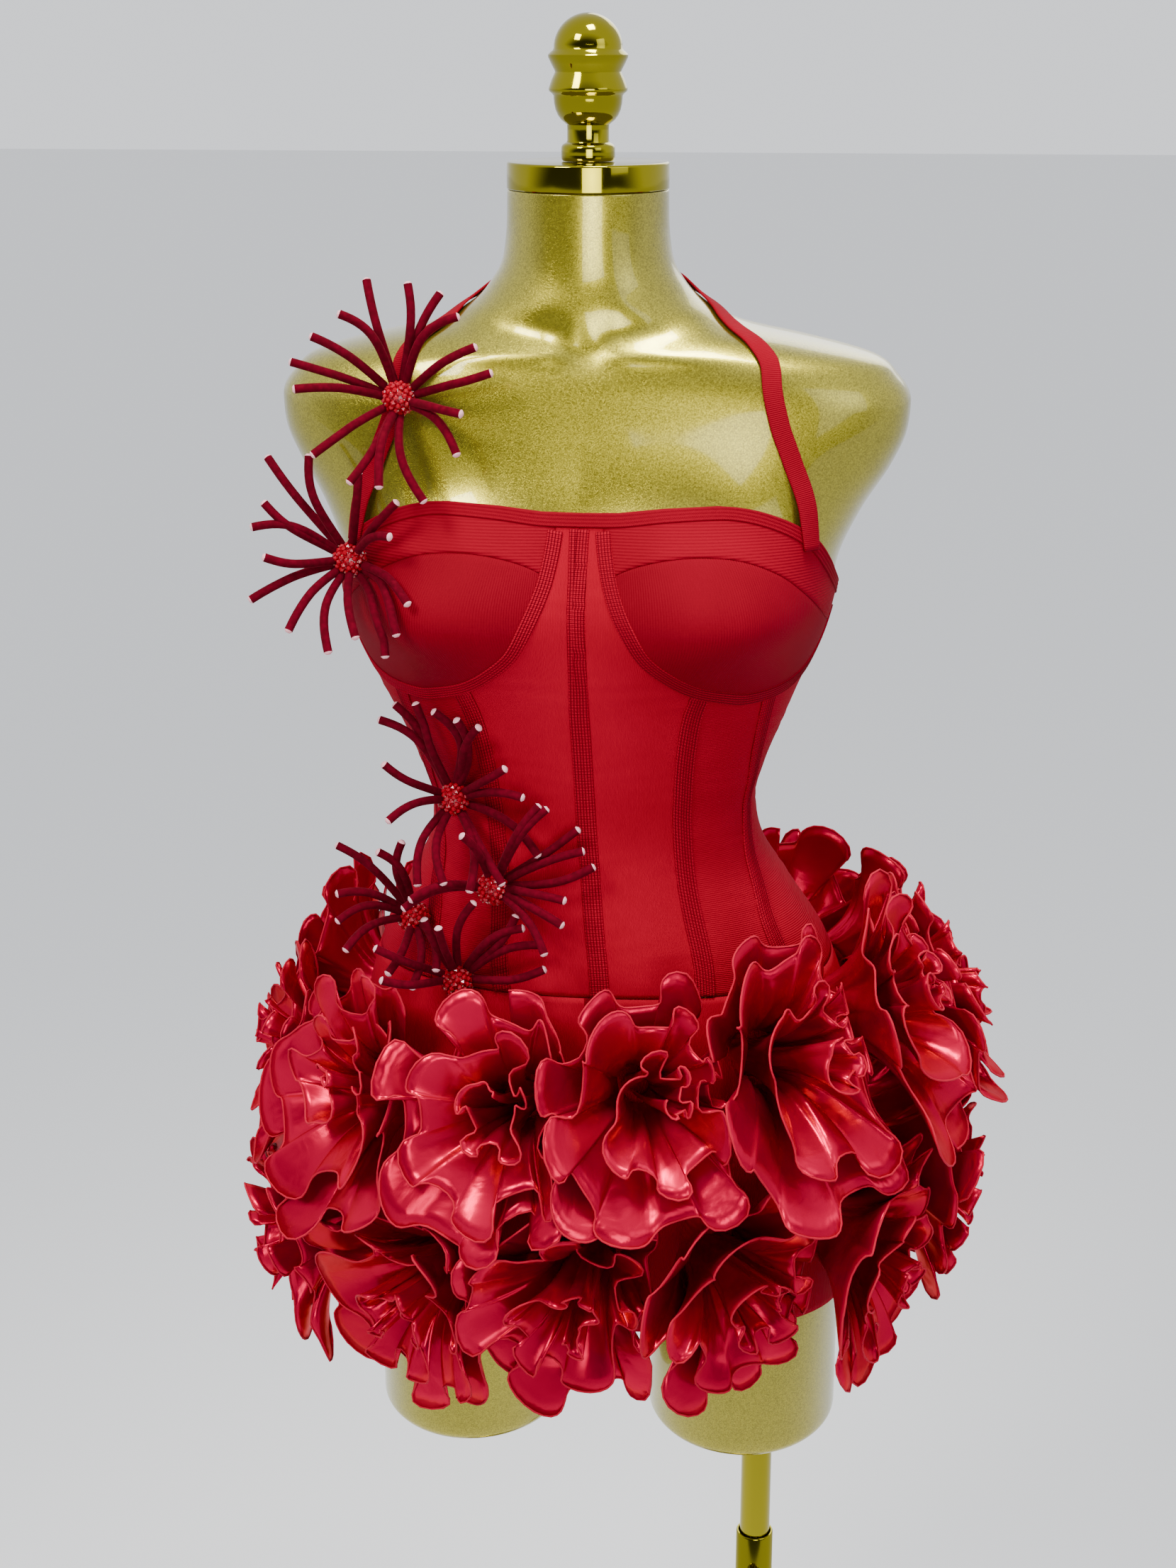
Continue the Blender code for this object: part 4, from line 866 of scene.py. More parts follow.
def make_stand():
    cap = disc_profile(CAP_RADIUS, NECK_TOP + SEAM, CAP_TOP, 0.0015)
    turned("neck_cap_turned", cap, 96, "torso", ["neck_cap"])
    turned("finial_turned", finial_profile(), 72, "torso", ["finial"])
    at = (POLE_X, POLE_Y, 0)
    top = THIGH_BOTTOM - SEAM
    upper = [
        (0, top), (POLE_UPPER_RADIUS, top), (POLE_UPPER_RADIUS, POLE_UPPER_BOTTOM + 0.001),
        (POLE_UPPER_RADIUS - 0.001, POLE_UPPER_BOTTOM), (0, POLE_UPPER_BOTTOM)]
    turned("pole_upper_tube", upper, 64, "torso", ["pole_upper"], at)
    low = BASE_THICK + SEAM
    lip = POLE_LOWER_TOP - 0.0008
    lower = [
        (POLE_LOWER_RADIUS, lip), (POLE_LOWER_RADIUS, low), (POLE_LOWER_BORE, low), (POLE_LOWER_BORE, lip),
        (POLE_LOWER_BORE + 0.0004, POLE_LOWER_TOP), (POLE_LOWER_RADIUS - FINE_BEVEL, POLE_LOWER_TOP)]
    turned("pole_lower_tube", lower, 64, "stand", ["pole_lower"], at)
    seat = (POLE_X, POLE_Y, KNOB_Z)
    turned("knob_boss", KNOB_BOSS, 40, "stand", [], seat, math.pi / 2)
    knob = turned("lock_knob_turned", KNOB, KNOB_FLUTES, "knob", ["lock_knob"], seat, math.pi / 2)
    knurl(knob, seat)
    base = disc_profile(BASE_RADIUS, 0, BASE_THICK, 0.0025)
    turned("base_plate_turned", base, 160, "stand", ["base_plate"], (BASE_X, 0, 0))


def knurl(knob, seat):
    """Cuts the grip of the knob into fine flutes."""
    for vertex in knob.data.vertices:
        x, z = vertex.co.x - seat[0], vertex.co.z - seat[2]
        if math.hypot(x, z) > KNOB_GRIP:
            angle = round(math.atan2(z, x) / (2 * math.pi / KNOB_FLUTES))
            if angle % 2:
                vertex.co.x = seat[0] + x * 0.955
                vertex.co.z = seat[2] + z * 0.955


# Bodice

def channel(name, run, width, columns, ribs, depth=0.0005, look=CHANNEL_KNIT, low=TRIM_LOW):
    """A channel or binding along a run of points, ribbed lengthwise and thin at its edges."""
    across = np.linspace(0, 1, columns)[None]
    edge = np.minimum(1, np.minimum(across, 1 - across) * columns / 1.2)
    rib = depth * np.abs(np.sin(math.pi * ribs * across)) - depth
    relief = np.repeat(rib, len(run), 0) - 0.0006 * (1 - edge)
    return cloth(name, strip(run, width, columns), look, low, TRIM_HIGH, relief, trim=True)


def seam_dip(grid, depth=0.0006, reach=0.09):
    """Cloth that pulls in towards its stitched edges."""
    i = np.linspace(0, 1, grid.shape[0])[:, None]
    j = np.linspace(0, 1, grid.shape[1])[None]
    edge = np.minimum(np.minimum(i, 1 - i), np.minimum(j, 1 - j)) / reach
    return -depth * np.clip(1 - edge, 0, 1) ** 2


def pucker(grid, amount, pitch, seed):
    """Small drag lines that a tight knit shows near its seams."""
    z, phi = grid[..., 0], grid[..., 1]
    wave = np.sin(z * 2 * math.pi / pitch + 3.0 * np.sin(phi * 3 + seed) + seed)
    slow = np.sin(z * 2 * math.pi / (pitch * 5.3) + phi * 4 + seed * 2)
    return amount * (0.6 * wave * np.clip(slow, 0, 1) + 0.4 * slow)


def two_steps(low, middle, high, first, second):
    """Heights in two even stretches, with this many points in each."""
    return np.concatenate([np.linspace(low, middle, first), np.linspace(middle, high, second)[1:]])


def seam_lines(side):
    """The seam lines of one half, joined where they meet, and the wire line's points at which they do."""
    wire = on_line(WIRE_LINE, 101, side)
    princess = on_line(PRINCESS_LINE, 70, side)
    flank = on_line(SIDE_LINE, 70, side)
    band = on_line(BAND_LINE, 61, side)
    inner_third = 36
    outer_third = 65
    at_princess = nearest_on(wire, princess[0])
    at_flank = nearest_on(wire, flank[0])
    band_in = nearest_on(wire[:inner_third], band[0])
    band_out = outer_third + nearest_on(wire[outer_third:], band[-1])
    princess[0] = wire[at_princess]
    flank[0] = wire[at_flank]
    band[0] = wire[band_in]
    band[-1] = wire[band_out]
    for end in (0, -1):
        wire[end, 0] = top_height(wire[end, 1])
    return wire, princess, flank, band, (at_princess, at_flank, band_in, band_out)


def make_channels(tag, wire, princess, flank):
    """The channels over the seams of one half, by name."""
    limit = np.where(
        np.abs(wire[:, 1]) < CUP_MIDDLE, wire[0, 0] - BINDING_FOOT, wire[-1, 0] - BINDING_FOOT - 0.0045)
    run = resampled(wire[wire[:, 0] < limit], 120)
    pieces = {"wire": channel(f"channel_wire_{tag}", run, WIRE_WIDTH, 25, 5)}
    for name, line in (("princess", princess), ("side", flank)):
        run = line.copy()
        run[0, 0] -= WIRE_WIDTH / 2 + 0.0010
        run[-1, 0] += CHANNEL_END
        run = resampled(run[np.argsort(-run[:, 0])], 110)
        pieces[name] = channel(f"channel_{name}_{tag}", run, CHANNEL_WIDTH, 29, 6)
    if tag == "right":
        heights = np.linspace(FRONT_TOP - BINDING_FOOT, PANEL_BOTTOM + CHANNEL_END, 150)
        run = np.stack([heights, np.zeros(150)], -1)
        pieces["centre"] = channel("channel_centre", run, CHANNEL_WIDTH, 29, 6)
    return pieces


def make_front_panel(name, side, wire, princess, at_princess):
    edge = np.concatenate([princess[::-1], wire[at_princess - 1::-1]])
    heights = two_steps(PANEL_BOTTOM, 1.176, FRONT_TOP, len(princess), at_princess + 1)
    centre = np.stack([heights, np.full(len(heights), side * 1e-4)], -1)
    grid = ruled(centre, edge, 30)
    relief = seam_dip(grid) + pucker(grid, 0.00025, 0.011, side + 1.0)
    cloth(name, grid, PANEL_KNIT, CLOTH_LOW, CLOTH_HIGH, relief)


def make_side_front(name, side, under, princess, flank):
    """The panel between the princess seam and the side seam, below under, the wire's run over it."""
    columns = []
    for k, share in enumerate(np.linspace(0, 1, len(under))):
        line = princess * (1 - share) + flank * share
        fade = np.linspace(1, 0, len(line))[:, None] ** 2
        columns.append(line + (under[k] - line[0]) * fade)
    grid = np.stack(columns, 1)
    relief = seam_dip(grid) + pucker(grid, 0.0004, 0.008, side + 2.5)
    cloth(name, grid, SIDE_KNIT, CLOTH_LOW, CLOTH_HIGH, relief)


def make_back_panel(name, side, wire, flank, at_flank):
    edge = np.concatenate([flank[::-1], wire[at_flank + 1:]])
    zip_edge = side * (math.pi - ZIP_HALF_GAP / 0.085)
    heights = two_steps(PANEL_BOTTOM, 1.165, BACK_TOP, len(flank), len(edge) - len(flank) + 1)
    back = np.stack([heights, np.full(len(heights), zip_edge) - twist(heights)], -1)
    grid = ruled(edge, back, 60)
    drop = top_height(grid[-1, :, 1]) - grid[-1, :, 0]
    grid[:, :, 0] += drop[None] * np.linspace(0, 1, len(grid))[:, None] ** 1.5
    relief = seam_dip(grid, reach=0.04) + pucker(grid, 0.0004, 0.010, side + 4.0)
    cloth(name, grid, SIDE_KNIT, CLOTH_LOW, CLOTH_HIGH, relief)


def make_cup(tag, wire, band, band_in, band_out):
    lower = wire[band_in:band_out + 1]
    grid = ruled(lower, resampled(band, len(lower)), 40)
    cloth(f"cup_lower_{tag}", grid, CUP_KNIT, CLOTH_LOW, CLOTH_HIGH, seam_dip(grid))
    phi_top = np.linspace(wire[0, 1], wire[-1, 1], 80)
    columns = 24
    grid = ruled(resampled(band, 80), np.stack([top_height(phi_top), phi_top], -1), columns)
    grid[0] = resampled(wire[:band_in + 1][::-1], columns)
    grid[-1] = resampled(wire[band_out:], columns)
    j = np.linspace(0, 1, columns)[None]
    rows_near_seam = np.clip(1 - j * 2.2, 0, 1) * 0.00035 * np.sin(j * 2 * math.pi * 14)
    relief = seam_dip(grid, depth=0.0004) + rows_near_seam
    cloth(f"cup_upper_{tag}", grid, BAND_KNIT, CLOTH_LOW, CLOTH_HIGH + 0.0002, relief)


def make_bodice():
    for side, tag in ((-1, "left"), (1, "right")):
        wire, princess, flank, band, (at_princess, at_flank, band_in, band_out) = seam_lines(side)
        pieces = make_channels(tag, wire, princess, flank)
        make_front_panel(f"panel_front_{tag}", side, wire, princess, at_princess)
        under = wire[at_princess:at_flank + 1]
        make_side_front(f"panel_side_front_{tag}", side, under, princess, flank)
        make_back_panel(f"panel_back_{tag}", side, wire, flank, at_flank)
        make_cup(tag, wire, band, band_in, band_out)


def make_binding():
    halves = []
    for side in (-1, 1):
        line = on_line(TOP_LINE, 160, side)
        line[-1, 1] -= side * BINDING_GAP / 0.09 + float(twist(1.2))
        halves.append(line)
    run = np.concatenate([halves[0][::-1], halves[1][1:]])
    run[:, 0] -= BINDING_WIDTH / 2
    return channel("top_binding", run, BINDING_WIDTH, 21, 4, 0.0004, SHADED_TAPE_KNIT, CLOTH_LOW)


def make_strap(binding):
    """The halter strap: over the binding in front, then down on to the form and round the neck."""
    right = on_line(STRAP_LINE, 120, 1)
    left = on_line(STRAP_LINE, 120, -1)
    left[:, 1] += 2 * math.pi
    line = np.concatenate([right, left[::-1][1:]])
    columns = 15
    grid = strip(line, STRAP_WIDTH, columns)
    above = np.clip((line[:, 0] - 1.296) / 0.030, 0, 1)
    low = STRAP_ON_CLOTH + (STRAP_ON_FORM - STRAP_ON_CLOTH) * above * above * (3 - 2 * above)
    across = np.linspace(-1, 1, columns)[None]
    high = low[:, None] + STRAP_WALL - 0.0005 * across ** 8
    outer = skin(grid[..., 0], grid[..., 1], high)
    inner = skin(grid[..., 0], grid[..., 1], np.repeat(low[:, None], columns, 1))
    along = run_lengths(outer[:, columns // 2], 0)[:, None]
    uv = np.stack(np.broadcast_arrays(across * STRAP_WIDTH / 2, along), -1)
    made = wall("halter_strap_cloth", outer, inner, SHADED_TAPE_KNIT, uv)
    finished(made, "torso", ["halter_strap"])


def make_skirt_base():
    around = np.linspace(0, 2 * math.pi, 144, endpoint=False)
    z, phi = np.meshgrid(np.linspace(SKIRT_TOP, SKIRT_HEM, 60), around, indexing="ij")
    grid = np.stack([z, phi - twist(z)], -1)
    cloth("skirt_base", grid, PANEL_KNIT, CLOTH_LOW, CLOTH_HIGH, closed=True)


# Rosettes

def unit(vector):
    return vector / np.linalg.norm(vector)


def rosette_frame(angle, height):
    """Where a rosette is sewn on, as (z, phi, point), and its face, directions and reach from there."""
    theta = math.radians(angle)
    front = math.cos(theta) > 0
    wide = FACE_SIDE + (LOWER_WIDER if height < ROW_SPLIT else 0)
    depth = FACE_FRONT if front else FACE_BACK
    face = np.array([FACE_CENTRE_X + wide * math.sin(theta), -depth * math.cos(theta), height])
    hip = ROOT_FRONT if front else ROOT_BACK
    phi = math.atan2(ROOT_SIDE * math.sin(theta), hip * math.cos(theta))
    z = ROW_SPLIT + ROOT_SPREAD * (height - ROW_SPLIT)
    root = skin(z, phi, ON_PANEL)
    out = unit(face - root)
    side = unit(np.cross([0, 0, 1], out))
    return z, phi, root, face, out, side, np.cross(out, side), np.linalg.norm(face - root)


def covers(first, second):
    """Whether a rosette's edge lies over its neighbour's.

    The upper row lies over the lower one, and in a row each lies over the one before it.
    """
    if first[0][:12] != second[0][:12]:
        return first[0].startswith("ruffle_upper")
    return (first[1] - second[1]) % 360 < 180


def neighbour_planes(spec, frames):
    """The planes between a rosette and its neighbours as (point, normal).

    They lean, so that one rosette's edge overlaps the other's in the view.
    """
    root, mine = frames[spec[0]][2:4]
    planes = []
    for other in ROSETTES:
        foot, theirs = frames[other[0]][2:4]
        if other[0] == spec[0] or np.linalg.norm(theirs - mine) > NEIGHBOUR_REACH:
            continue
        middle = (root + PLANE_DEPTH * (mine - root) + foot + PLANE_DEPTH * (theirs - foot)) / 2
        if other[0][:12] != spec[0][:12]:
            middle = middle + np.array([0, 0, ROW_RISE])
        lean = unit((mine + theirs - root - foot) / 2)
        spread = theirs - mine
        normal = unit(spread - (spread @ lean) * lean)
        normal = normal - (PLANE_LEAN if covers(spec, other) else -PLANE_LEAN) * lean
        planes.append((middle, unit(normal)))
    return planes


def rosette_surface(spec, frames, v, t):
    """The middle of a rosette's cloth. v runs along its strip, t from its sewn edge to its free edge."""
    name, angle, height, start, size, waves = spec
    z, phi, root, face, out, side, up, reach = frames[name]
    u = v ** 0.74
    hand = 1 if start % 20 == 0 else -1
    phase = math.radians(start * 3.7)
    turn = math.radians(start) + hand * 2 * math.pi * RUFFLE_TURNS * u
    folds = 2 * math.pi * (waves * RUFFLE_TURNS) * v
    folds = folds + 1.5 * np.sin(turn + phase) + 0.7 * np.sin(2.3 * turn + 2 * phase)
    ease = np.minimum(1, 7 * (1 - u) + 0.2) * np.minimum(1, 5 * u + 0.3)
    uneven = (1 + 0.30 * np.sin(1.7 * turn + phase) + 0.18 * np.sin(3.1 * turn + 2.6 * phase)) * ease
    # How far the free edge may go in each direction, and how far out it stands there
    rise_side = OVERLAP_RISE * np.cos(turn - math.radians(225)) * u
    tall = (reach + 0.010) * (1.07 - 0.40 * u ** 1.1) + rise_side
    way = np.cos(turn)[..., None] * side + (RUFFLE_HEIGHT * np.sin(turn))[..., None] * up
    row = 1 if name.startswith("ruffle_upper") else -1
    open_side = np.clip(row * np.sin(turn) / 0.5, 0, 1)
    free_radius = UPPER_RADIUS if row > 0 else LOWER_RADIUS
    room = size * (CORNER_RADIUS - (CORNER_RADIUS - free_radius) * open_side)
    for point, normal in neighbour_planes(spec, frames):
        toward = way @ normal
        left = (point - root - tall[..., None] * out) @ normal
        hit = np.where(toward > 0.05, left / np.maximum(toward, 0.05), 1.0)
        room = np.where(hit > 0, (room ** -8 + np.maximum(hit, 0.02) ** -8) ** (-1 / 8), room)
    # The free edge: a spiral that swings in and out, to and fro, and up and down with its folds
    share = 0.06 + 1.02 * np.sin(np.minimum(u / 0.90, 1) * math.pi / 2) ** 1.25
    swing = (0.0032 + 0.0100 * u) * uneven
    edge_radius = share * room + swing * (np.cos(folds) - 0.40)
    edge_radius = np.maximum(edge_radius, 0.0025 + 0.006 * u)
    edge_radius = edge_radius + 0.0007 * np.sin(folds * 2.6 + phase) * ease
    drift = (0.0026 + 0.0042 * u) * np.sin(2 * folds) * uneven / np.maximum(edge_radius, 0.008)
    lift = (0.0030 + 0.0035 * u) * np.sin(folds + 0.9) * uneven
    lift = lift + 0.0015 * np.sin(folds * 2.2 + phase) * ease
    bent = turn + hand * drift
    off = 0.014 * (1 - u)
    free = root + (tall + lift)[..., None] * out
    free = free + (edge_radius * np.cos(bent) + off * math.cos(phase))[..., None] * side
    free = free + (RUFFLE_HEIGHT * edge_radius * np.sin(bent) + off * math.sin(phase))[..., None] * up
    # The sewn edge: a small spiral on the skirt
    base = 0.0045 + 0.0205 * u
    around = base * np.cos(turn) / torso_radius(z, phi)
    sewn = skin(z + base * np.sin(turn), phi + around, np.full(u.shape, ON_PANEL + 0.0004))
    # The cloth bows out between them
    rise = sewn + ((0.62 + 0.10 * np.sin(folds * 0.5 + phase)) * tall)[..., None] * out
    rise = rise + (0.30 * math.cos(phase) * off)[..., None] * side
    t = t[..., None]
    points = (1 - t) ** 2 * sewn + 2 * t * (1 - t) * rise + t * t * free
    # Gathers that fan out from the sewn edge, and softer creases across the fall
    radial = np.cos(turn)[..., None] * side + np.sin(turn)[..., None] * up
    flat = t[..., 0]
    fading = (1 - flat) ** 1.5 * np.minimum(1, flat * 6)
    gather = 0.0010 * np.sin(folds * 4.0 + 2.0 * np.sin(folds)) * fading
    crease = 0.0016 * np.sin(folds * 1.6 + 5.0 * flat + phase) * np.sin(math.pi * flat) * ease
    # The last stretch turns back a little, as a rolled edge does
    curl = 0.0007 * np.sin(folds + 2.1) * np.clip((flat - 0.82) / 0.18, 0, 1) ** 2
    return points + (gather + crease)[..., None] * radial - curl[..., None] * out


def kept_apart(points, spec, frames, heads):
    """The points, eased away from the planes between this rosette and its neighbours, and from the heads."""
    room = 0.007
    margin = 0.0008
    for point, normal in neighbour_planes(spec, frames):
        over = (points - point) @ normal
        kept = -margin - (room - margin) * np.exp(-(over + room) / (room - margin))
        points = points + np.where(over > -room, kept - over, 0)[..., None] * normal
    for centre, radius in heads:
        away = points - centre
        distance = np.linalg.norm(away, axis=-1)
        eased = (distance ** 6 + radius ** 6) ** (1 / 6)
        points = centre + away * (eased / np.maximum(distance, 1e-6))[..., None]
    return pushed_out(points, ON_PANEL + 0.0004)


def sheet_sides(middle, thick):
    """The two sides of a sheet, from the grid of points down its middle."""
    normal = np.cross(np.gradient(middle, axis=0), np.gradient(middle, axis=1))
    normal /= np.maximum(np.linalg.norm(normal, axis=-1, keepdims=True), 1e-9)
    return middle + normal * thick / 2, middle - normal * thick / 2


def tube_rings(run, radius, sides, beat=0.0):
    """Rings of a thin tube along a run of points. beat makes every second ring this much thicker."""
    along = np.gradient(run, axis=0)
    along /= np.linalg.norm(along, axis=1, keepdims=True)
    side = np.cross(along[0], [0.3, 0.2, 0.9])
    turns = np.linspace(0, 2 * math.pi, sides, endpoint=False)
    rings = []
    for k in range(len(run)):
        side = unit(side - (side @ along[k]) * along[k])
        other = np.cross(along[k], side)
        fat = radius * (1 + beat * (-1) ** k)
        rings.append([run[k] + fat * (math.cos(a) * side + math.sin(a) * other) for a in turns])
    return np.array(rings)


def tube_faces(rings, sides, start):
    faces = []
    for i in range(rings - 1):
        row = start + i * sides
        for j in range(sides):
            k = (j + 1) % sides
            faces.append((row + j, row + k, row + sides + k, row + sides + j))
    faces.append(tuple(start + j for j in range(sides - 1, -1, -1)))
    faces.append(tuple(start + (rings - 1) * sides + j for j in range(sides)))
    return faces


def make_rosette(spec, frames, heads):
    """One rosette: its satin strip and the overlock thread along the free edge."""
    rows = 14
    steps = 56 * spec[5] + 1
    v, t = np.meshgrid(np.linspace(0, 1, steps), np.linspace(0, 1, rows), indexing="ij")
    middle = kept_apart(rosette_surface(spec, frames, v, t), spec, frames, heads)
    outer, inner = sheet_sides(middle, SATIN_WALL)
    hem = tube_rings(middle[:, -1], OVERLOCK_RADIUS, OVERLOCK_SIDES, 0.10)
    points = np.concatenate([outer.reshape(-1, 3), inner.reshape(-1, 3), hem.reshape(-1, 3)])
    faces = wall_faces(steps, rows)
    rolled = tube_faces(steps, OVERLOCK_SIDES, 2 * steps * rows)
    run = run_lengths(middle[:, -1], 0)
    uv = np.stack(np.broadcast_arrays(run[:, None], t * 0.075), -1).reshape(-1, 2)
    uv = np.concatenate([uv, uv, np.repeat(np.stack([run, run * 0], -1), OVERLOCK_SIDES, 0)])
    slots = [0] * len(faces) + [1] * len(rolled)
    made = mesh_object(spec[0] + "_satin", points, faces + rolled, [SATIN, OVERLOCK], slots, uv)
    finished(made, "torso", [spec[0]])


def make_rosettes(heads):
    frames = {spec[0]: rosette_frame(spec[1], spec[2]) for spec in ROSETTES}
    for spec in ROSETTES:
        make_rosette(spec, frames, heads)


# Fringe flowers

def flower_head(spec):
    return skin(spec[2], math.radians(spec[1]), spec[3] + SEAM + BEAD_RADIUS)


def strand_points(head, angle, reach, lift, steps):
    """One strand of a fringe flower: out of the head, then curving back with its own weight."""
    a = math.radians(angle)
    start = head + 0.004 * VIEW_OUT
    out = math.sqrt(max(STRAND_LENGTH ** 2 - reach ** 2, 0.0002)) * 0.62 + lift
    tip = head + reach * (math.cos(a) * VIEW_RIGHT + math.sin(a) * VIEW_UP) + out * VIEW_OUT
    middle = head + 0.50 * (tip - head) + (0.010 + 0.6 * lift) * VIEW_OUT + 0.004 * VIEW_UP
    t = np.linspace(0, 1, steps + 1)[:, None]
    points = (1 - t) ** 2 * start + 2 * t * (1 - t) * middle + t * t * tip
    least = np.where(t[:, 0] > 0.15, ON_CHANNEL + STRAND_RADIUS + 0.0055, 0)
    return pushed_out(points, least)


def nearest(first, second):
    """The gap between two runs of points."""
    fine = []
    for run in (first, second):
        at = np.linspace(0, len(run) - 1, 4 * len(run))
        fine.append(np.stack([np.interp(at, np.arange(len(run)), run[:, k]) for k in range(3)], -1))
    return np.linalg.norm(fine[0][:, None] - fine[1][None], axis=-1).min()


def all_strands():
    """Each flower's head, and its strands as (direction, reach, lift).

    A strand is lifted until it clears the strands and heads of the other flowers.
    """
    tries = [(bend, lift) for lift in STRAND_LIFTS for bend in STRAND_BENDS]
    placed_runs = []
    result = {}
    for spec in FLOWERS:
        head = flower_head(spec)
        others = [flower_head(other) for other in FLOWERS if other is not spec]
        runs = []
        chosen = []
        for angle, reach in spec[4]:
            best = None
            for bend, lift in tries:
                run = strand_points(head, angle + bend, reach, lift, 2)
                gap = min([nearest(run, other) for other in placed_runs] + [1.0])
                for centre in others:
                    gap = min(gap, nearest(run, np.array([centre, centre])) - BEAD_RADIUS + STRAND_RADIUS)
                if best is None or gap > best[0]:
                    best = (gap, run, (angle + bend, reach, lift))
                if gap > 2 * STRAND_RADIUS + 0.0010:
                    break
            runs.append(best[1])
            chosen.append(best[2])
        placed_runs += runs
        result[spec[0]] = (head, chosen)
    return result


def make_flower(name, head, chosen, rng):
    """The velvet strands of one flower, each a tube with a pale cut end."""
    steps = 16
    sides = 10
    t = np.linspace(0, 1, steps + 1)[:, None]
    points = []
    faces = []
    slots = []
    for number, (angle, reach, lift) in enumerate(chosen):
        run = strand_points(head, angle, reach, lift, steps)
        run = run - (0.0150 * np.clip(1 - t / 0.55, 0, 1)) * VIEW_OUT
        a = math.radians(angle)
        cross = -math.sin(a) * VIEW_RIGHT + math.cos(a) * VIEW_UP
        bend = rng.uniform(-1, 1) * 0.0075
        droop = 0.004 * t ** 2 * np.array([0, 0, 1]) * rng.uniform(0, 1)
        run = run + bend * np.sin(math.pi * t ** 1.3) * cross - droop
        onwards = unit(run[-1] - run[-2])
        run = np.concatenate([run, [run[-1] + onwards * 0.0001, run[-1] + onwards * 0.0013]])
        rings = tube_rings(run, STRAND_RADIUS, sides)
        rings[-1] = run[-1] + (rings[-1] - run[-1]) * 0.55
        points.append(rings.reshape(-1, 3))
        faces += tube_faces(len(run), sides, number * len(run) * sides)
        slots += [0] * ((len(run) - 3) * sides) + [1] * (2 * sides) + [0, 1]
    strands = mesh_object(name + "_strands", np.concatenate(points), faces, [VELVET, CUT_END], slots)
    finished(strands, "torso", [name])
    make_beads(name, head, rng)


def ball_direction(k, count, turn):
    """One of the directions spread evenly over a ball, this far round its upright axis."""
    z = 1 - 2 * (k + 0.5) / count
    ring = math.sqrt(1 - z * z)
    return Vector((ring * math.cos(turn), ring * math.sin(turn), z))


def make_beads(name, head, rng):
    """A ball of faceted beads, with small pale metal seeds between them as painted glints."""
    made = bmesh.new()
    golden = math.pi * (3 - math.sqrt(5))
    for k in range(BEADS):
        away = ball_direction(k, BEADS, golden * k)
        new = bmesh.ops.create_icosphere(made, subdivisions=1, radius=BEAD_SIZE)["verts"]
        turn = away.to_track_quat("Z", "Y").to_matrix().to_4x4()
        bmesh.ops.transform(made, matrix=turn, verts=new)
        bmesh.ops.translate(made, vec=Vector(head) + away * (BEAD_RADIUS - 0.0012), verts=new)
    # The pale seeds are painted glints on the ball
    for k in range(GLINT_SEEDS):
        away = ball_direction(k, GLINT_SEEDS, golden * k + 1.1 + rng.uniform(-0.2, 0.2))
        new = bmesh.ops.create_icosphere(made, subdivisions=1, radius=GLINT_SEED_SIZE)["verts"]
        bmesh.ops.translate(made, vec=Vector(head) + away * (BEAD_RADIUS + 0.0003), verts=new)
        for face in {face for vertex in new for face in vertex.link_faces}:
            face.material_index = 1
    core = bmesh.ops.create_icosphere(made, subdivisions=2, radius=BEAD_RADIUS - 0.0018)["verts"]
    bmesh.ops.translate(made, vec=Vector(head), verts=core)
    for face in made.faces:
        face.smooth = False
    finished(from_bmesh(name + "_beads", made, [RUBY, GLINT_SEED]), "torso", [])


# Zip

def make_zip():
    z = np.linspace(BACK_TOP - BINDING_FOOT, PANEL_BOTTOM + CHANNEL_END, 120)
    line = np.stack([z, math.pi - twist(z)], -1)
    cloth("zip_tape", strip(line, ZIP_TAPE_WIDTH, 17), SHADED_TAPE_KNIT, TRIM_LOW, ZIP_TAPE_HIGH)
    teeth = bmesh.new()
    for k, height in enumerate(np.arange(PANEL_BOTTOM + 0.002, ZIP_CLOSED, ZIP_PITCH)):
        out = torso_normal(height, math.pi)
        at = skin(height, math.pi, np.array(0.0056))
        new = bmesh.ops.create_cube(teeth, size=1.0)["verts"]
        bmesh.ops.scale(teeth, vec=(0.0034, 0.0010, 0.0012), verts=new)
        x = at[0] + (0.0010 if k % 2 else -0.0010)
        bmesh.ops.translate(teeth, vec=(x, at[1] + out[1] * 0.0002, height), verts=new)
    bmesh.ops.bevel(teeth, geom=list(teeth.edges), offset=0.0002, segments=1, affect="EDGES")
    finished(from_bmesh("zip_teeth", teeth, [ZIP_METAL]), "torso", [])
    for name in ("zip_slider", "zip_pull"):
        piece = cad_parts[name]
        piece.data.materials.clear()
        piece.data.materials.append(ZIP_METAL)
        bevel = piece.modifiers.new("soft_edges", "BEVEL")
        bevel.width = 0.0003
        bevel.segments = 2
        bevel.limit_method = "ANGLE"


# Stage

def make_floor():
    mesh = bpy.data.meshes.new("floor")
    corners = [(FLOOR_HALF * x, FLOOR_HALF * y, 0) for x, y in ((-1, -1), (1, -1), (1, 1), (-1, 1))]
    mesh.from_pydata(corners, [], [(0, 1, 2, 3)])
    mesh.materials.append(FLOOR)
    placed("floor", mesh)


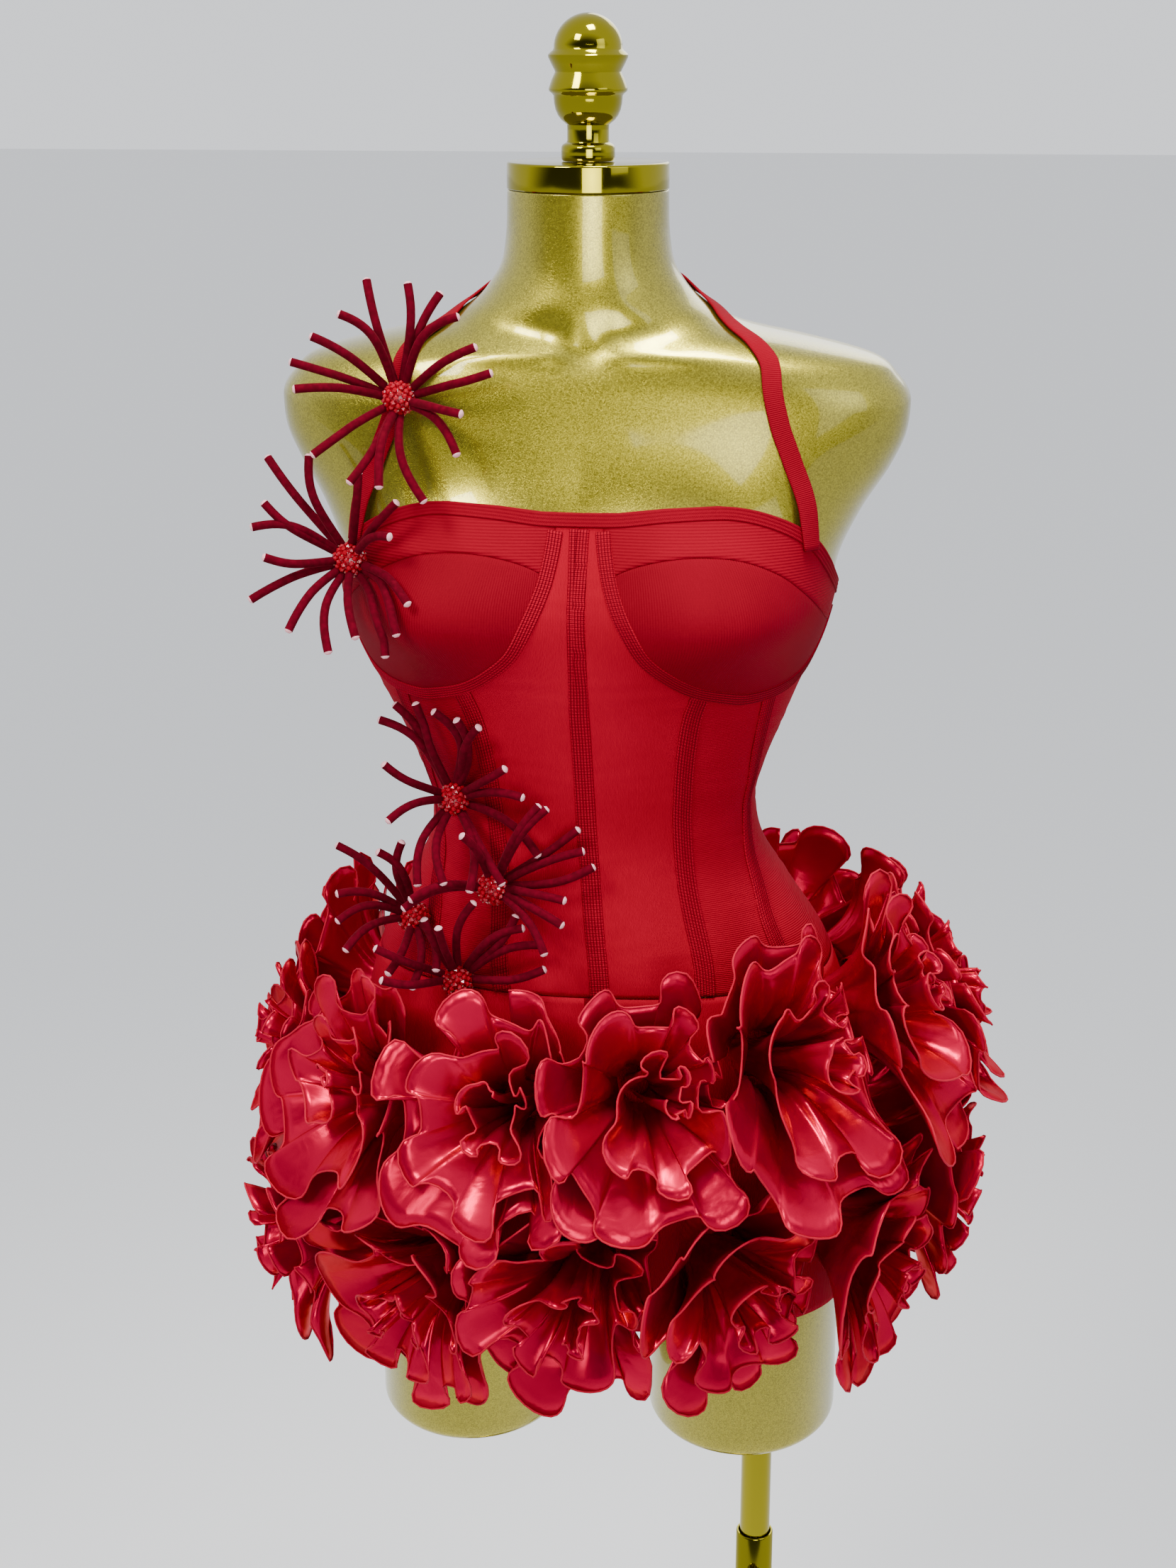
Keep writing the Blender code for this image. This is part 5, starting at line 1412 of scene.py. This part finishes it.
def light_world():
    """Less light comes from low in front, so that metal shows its shape. The backdrop itself stays pale."""
    world = bpy.context.scene.world or bpy.data.worlds.new("world")
    bpy.context.scene.world = world
    world.use_nodes = True
    tree = world.node_tree
    background = tree.nodes["Background"]
    background.inputs["Color"].default_value = (0.86, 0.88, 0.92, 1)
    where = tree.nodes.new("ShaderNodeTexCoord")
    along = node(tree, "ShaderNodeVectorMath", set_operation="DOT_PRODUCT")
    along.inputs[1].default_value = (0.0, 1.0, 0.8)
    strength = node(
        tree, "ShaderNodeMapRange", set_interpolation_type="SMOOTHSTEP",
        From_Min=-0.65, From_Max=0.05, To_Min=0.08, To_Max=1.28)
    seen = tree.nodes.new("ShaderNodeLightPath")
    tree.links.new(where.outputs["Generated"], along.inputs[0])
    tree.links.new(along.outputs["Value"], strength.inputs["Value"])
    backdrop = combined(tree, "MAXIMUM", strength.outputs["Result"], seen.outputs["Is Camera Ray"])
    tree.links.new(backdrop, background.inputs["Strength"])


def make_lights():
    for name, place, aim, size, power, spread, tint in LIGHTS:
        lamp = bpy.data.lights.new(name, "AREA")
        lamp.size = size
        lamp.energy = power
        lamp.spread = math.radians(spread)
        lamp.color = tint
        made = placed(name, lamp)
        made.location = place
        made.rotation_euler = (Vector(aim) - Vector(place)).to_track_quat("-Z", "Y").to_euler()


def make_camera():
    lens = bpy.data.cameras.new("camera")
    lens.lens = 54.0
    lens.sensor_width = 36.0
    camera = placed("camera", lens)
    camera.location = (0.156, -1.485, 1.58)
    camera.rotation_euler = (math.radians(90 - 17.9), 0, math.radians(6.0))
    bpy.context.scene.camera = camera


make_floor()
light_world()
make_lights()
make_camera()
make_form()
make_stand()
make_bodice()
make_strap(make_binding())
make_skirt_base()
hip_flower = next(spec for spec in FLOWERS if spec[0] == "flower_hip")
make_rosettes([(flower_head(hip_flower), BEAD_RADIUS + 0.006)])
draws = np.random.default_rng(7)
for flower, (head, chosen) in all_strands().items():
    make_flower(flower, head, chosen, draws)
make_zip()
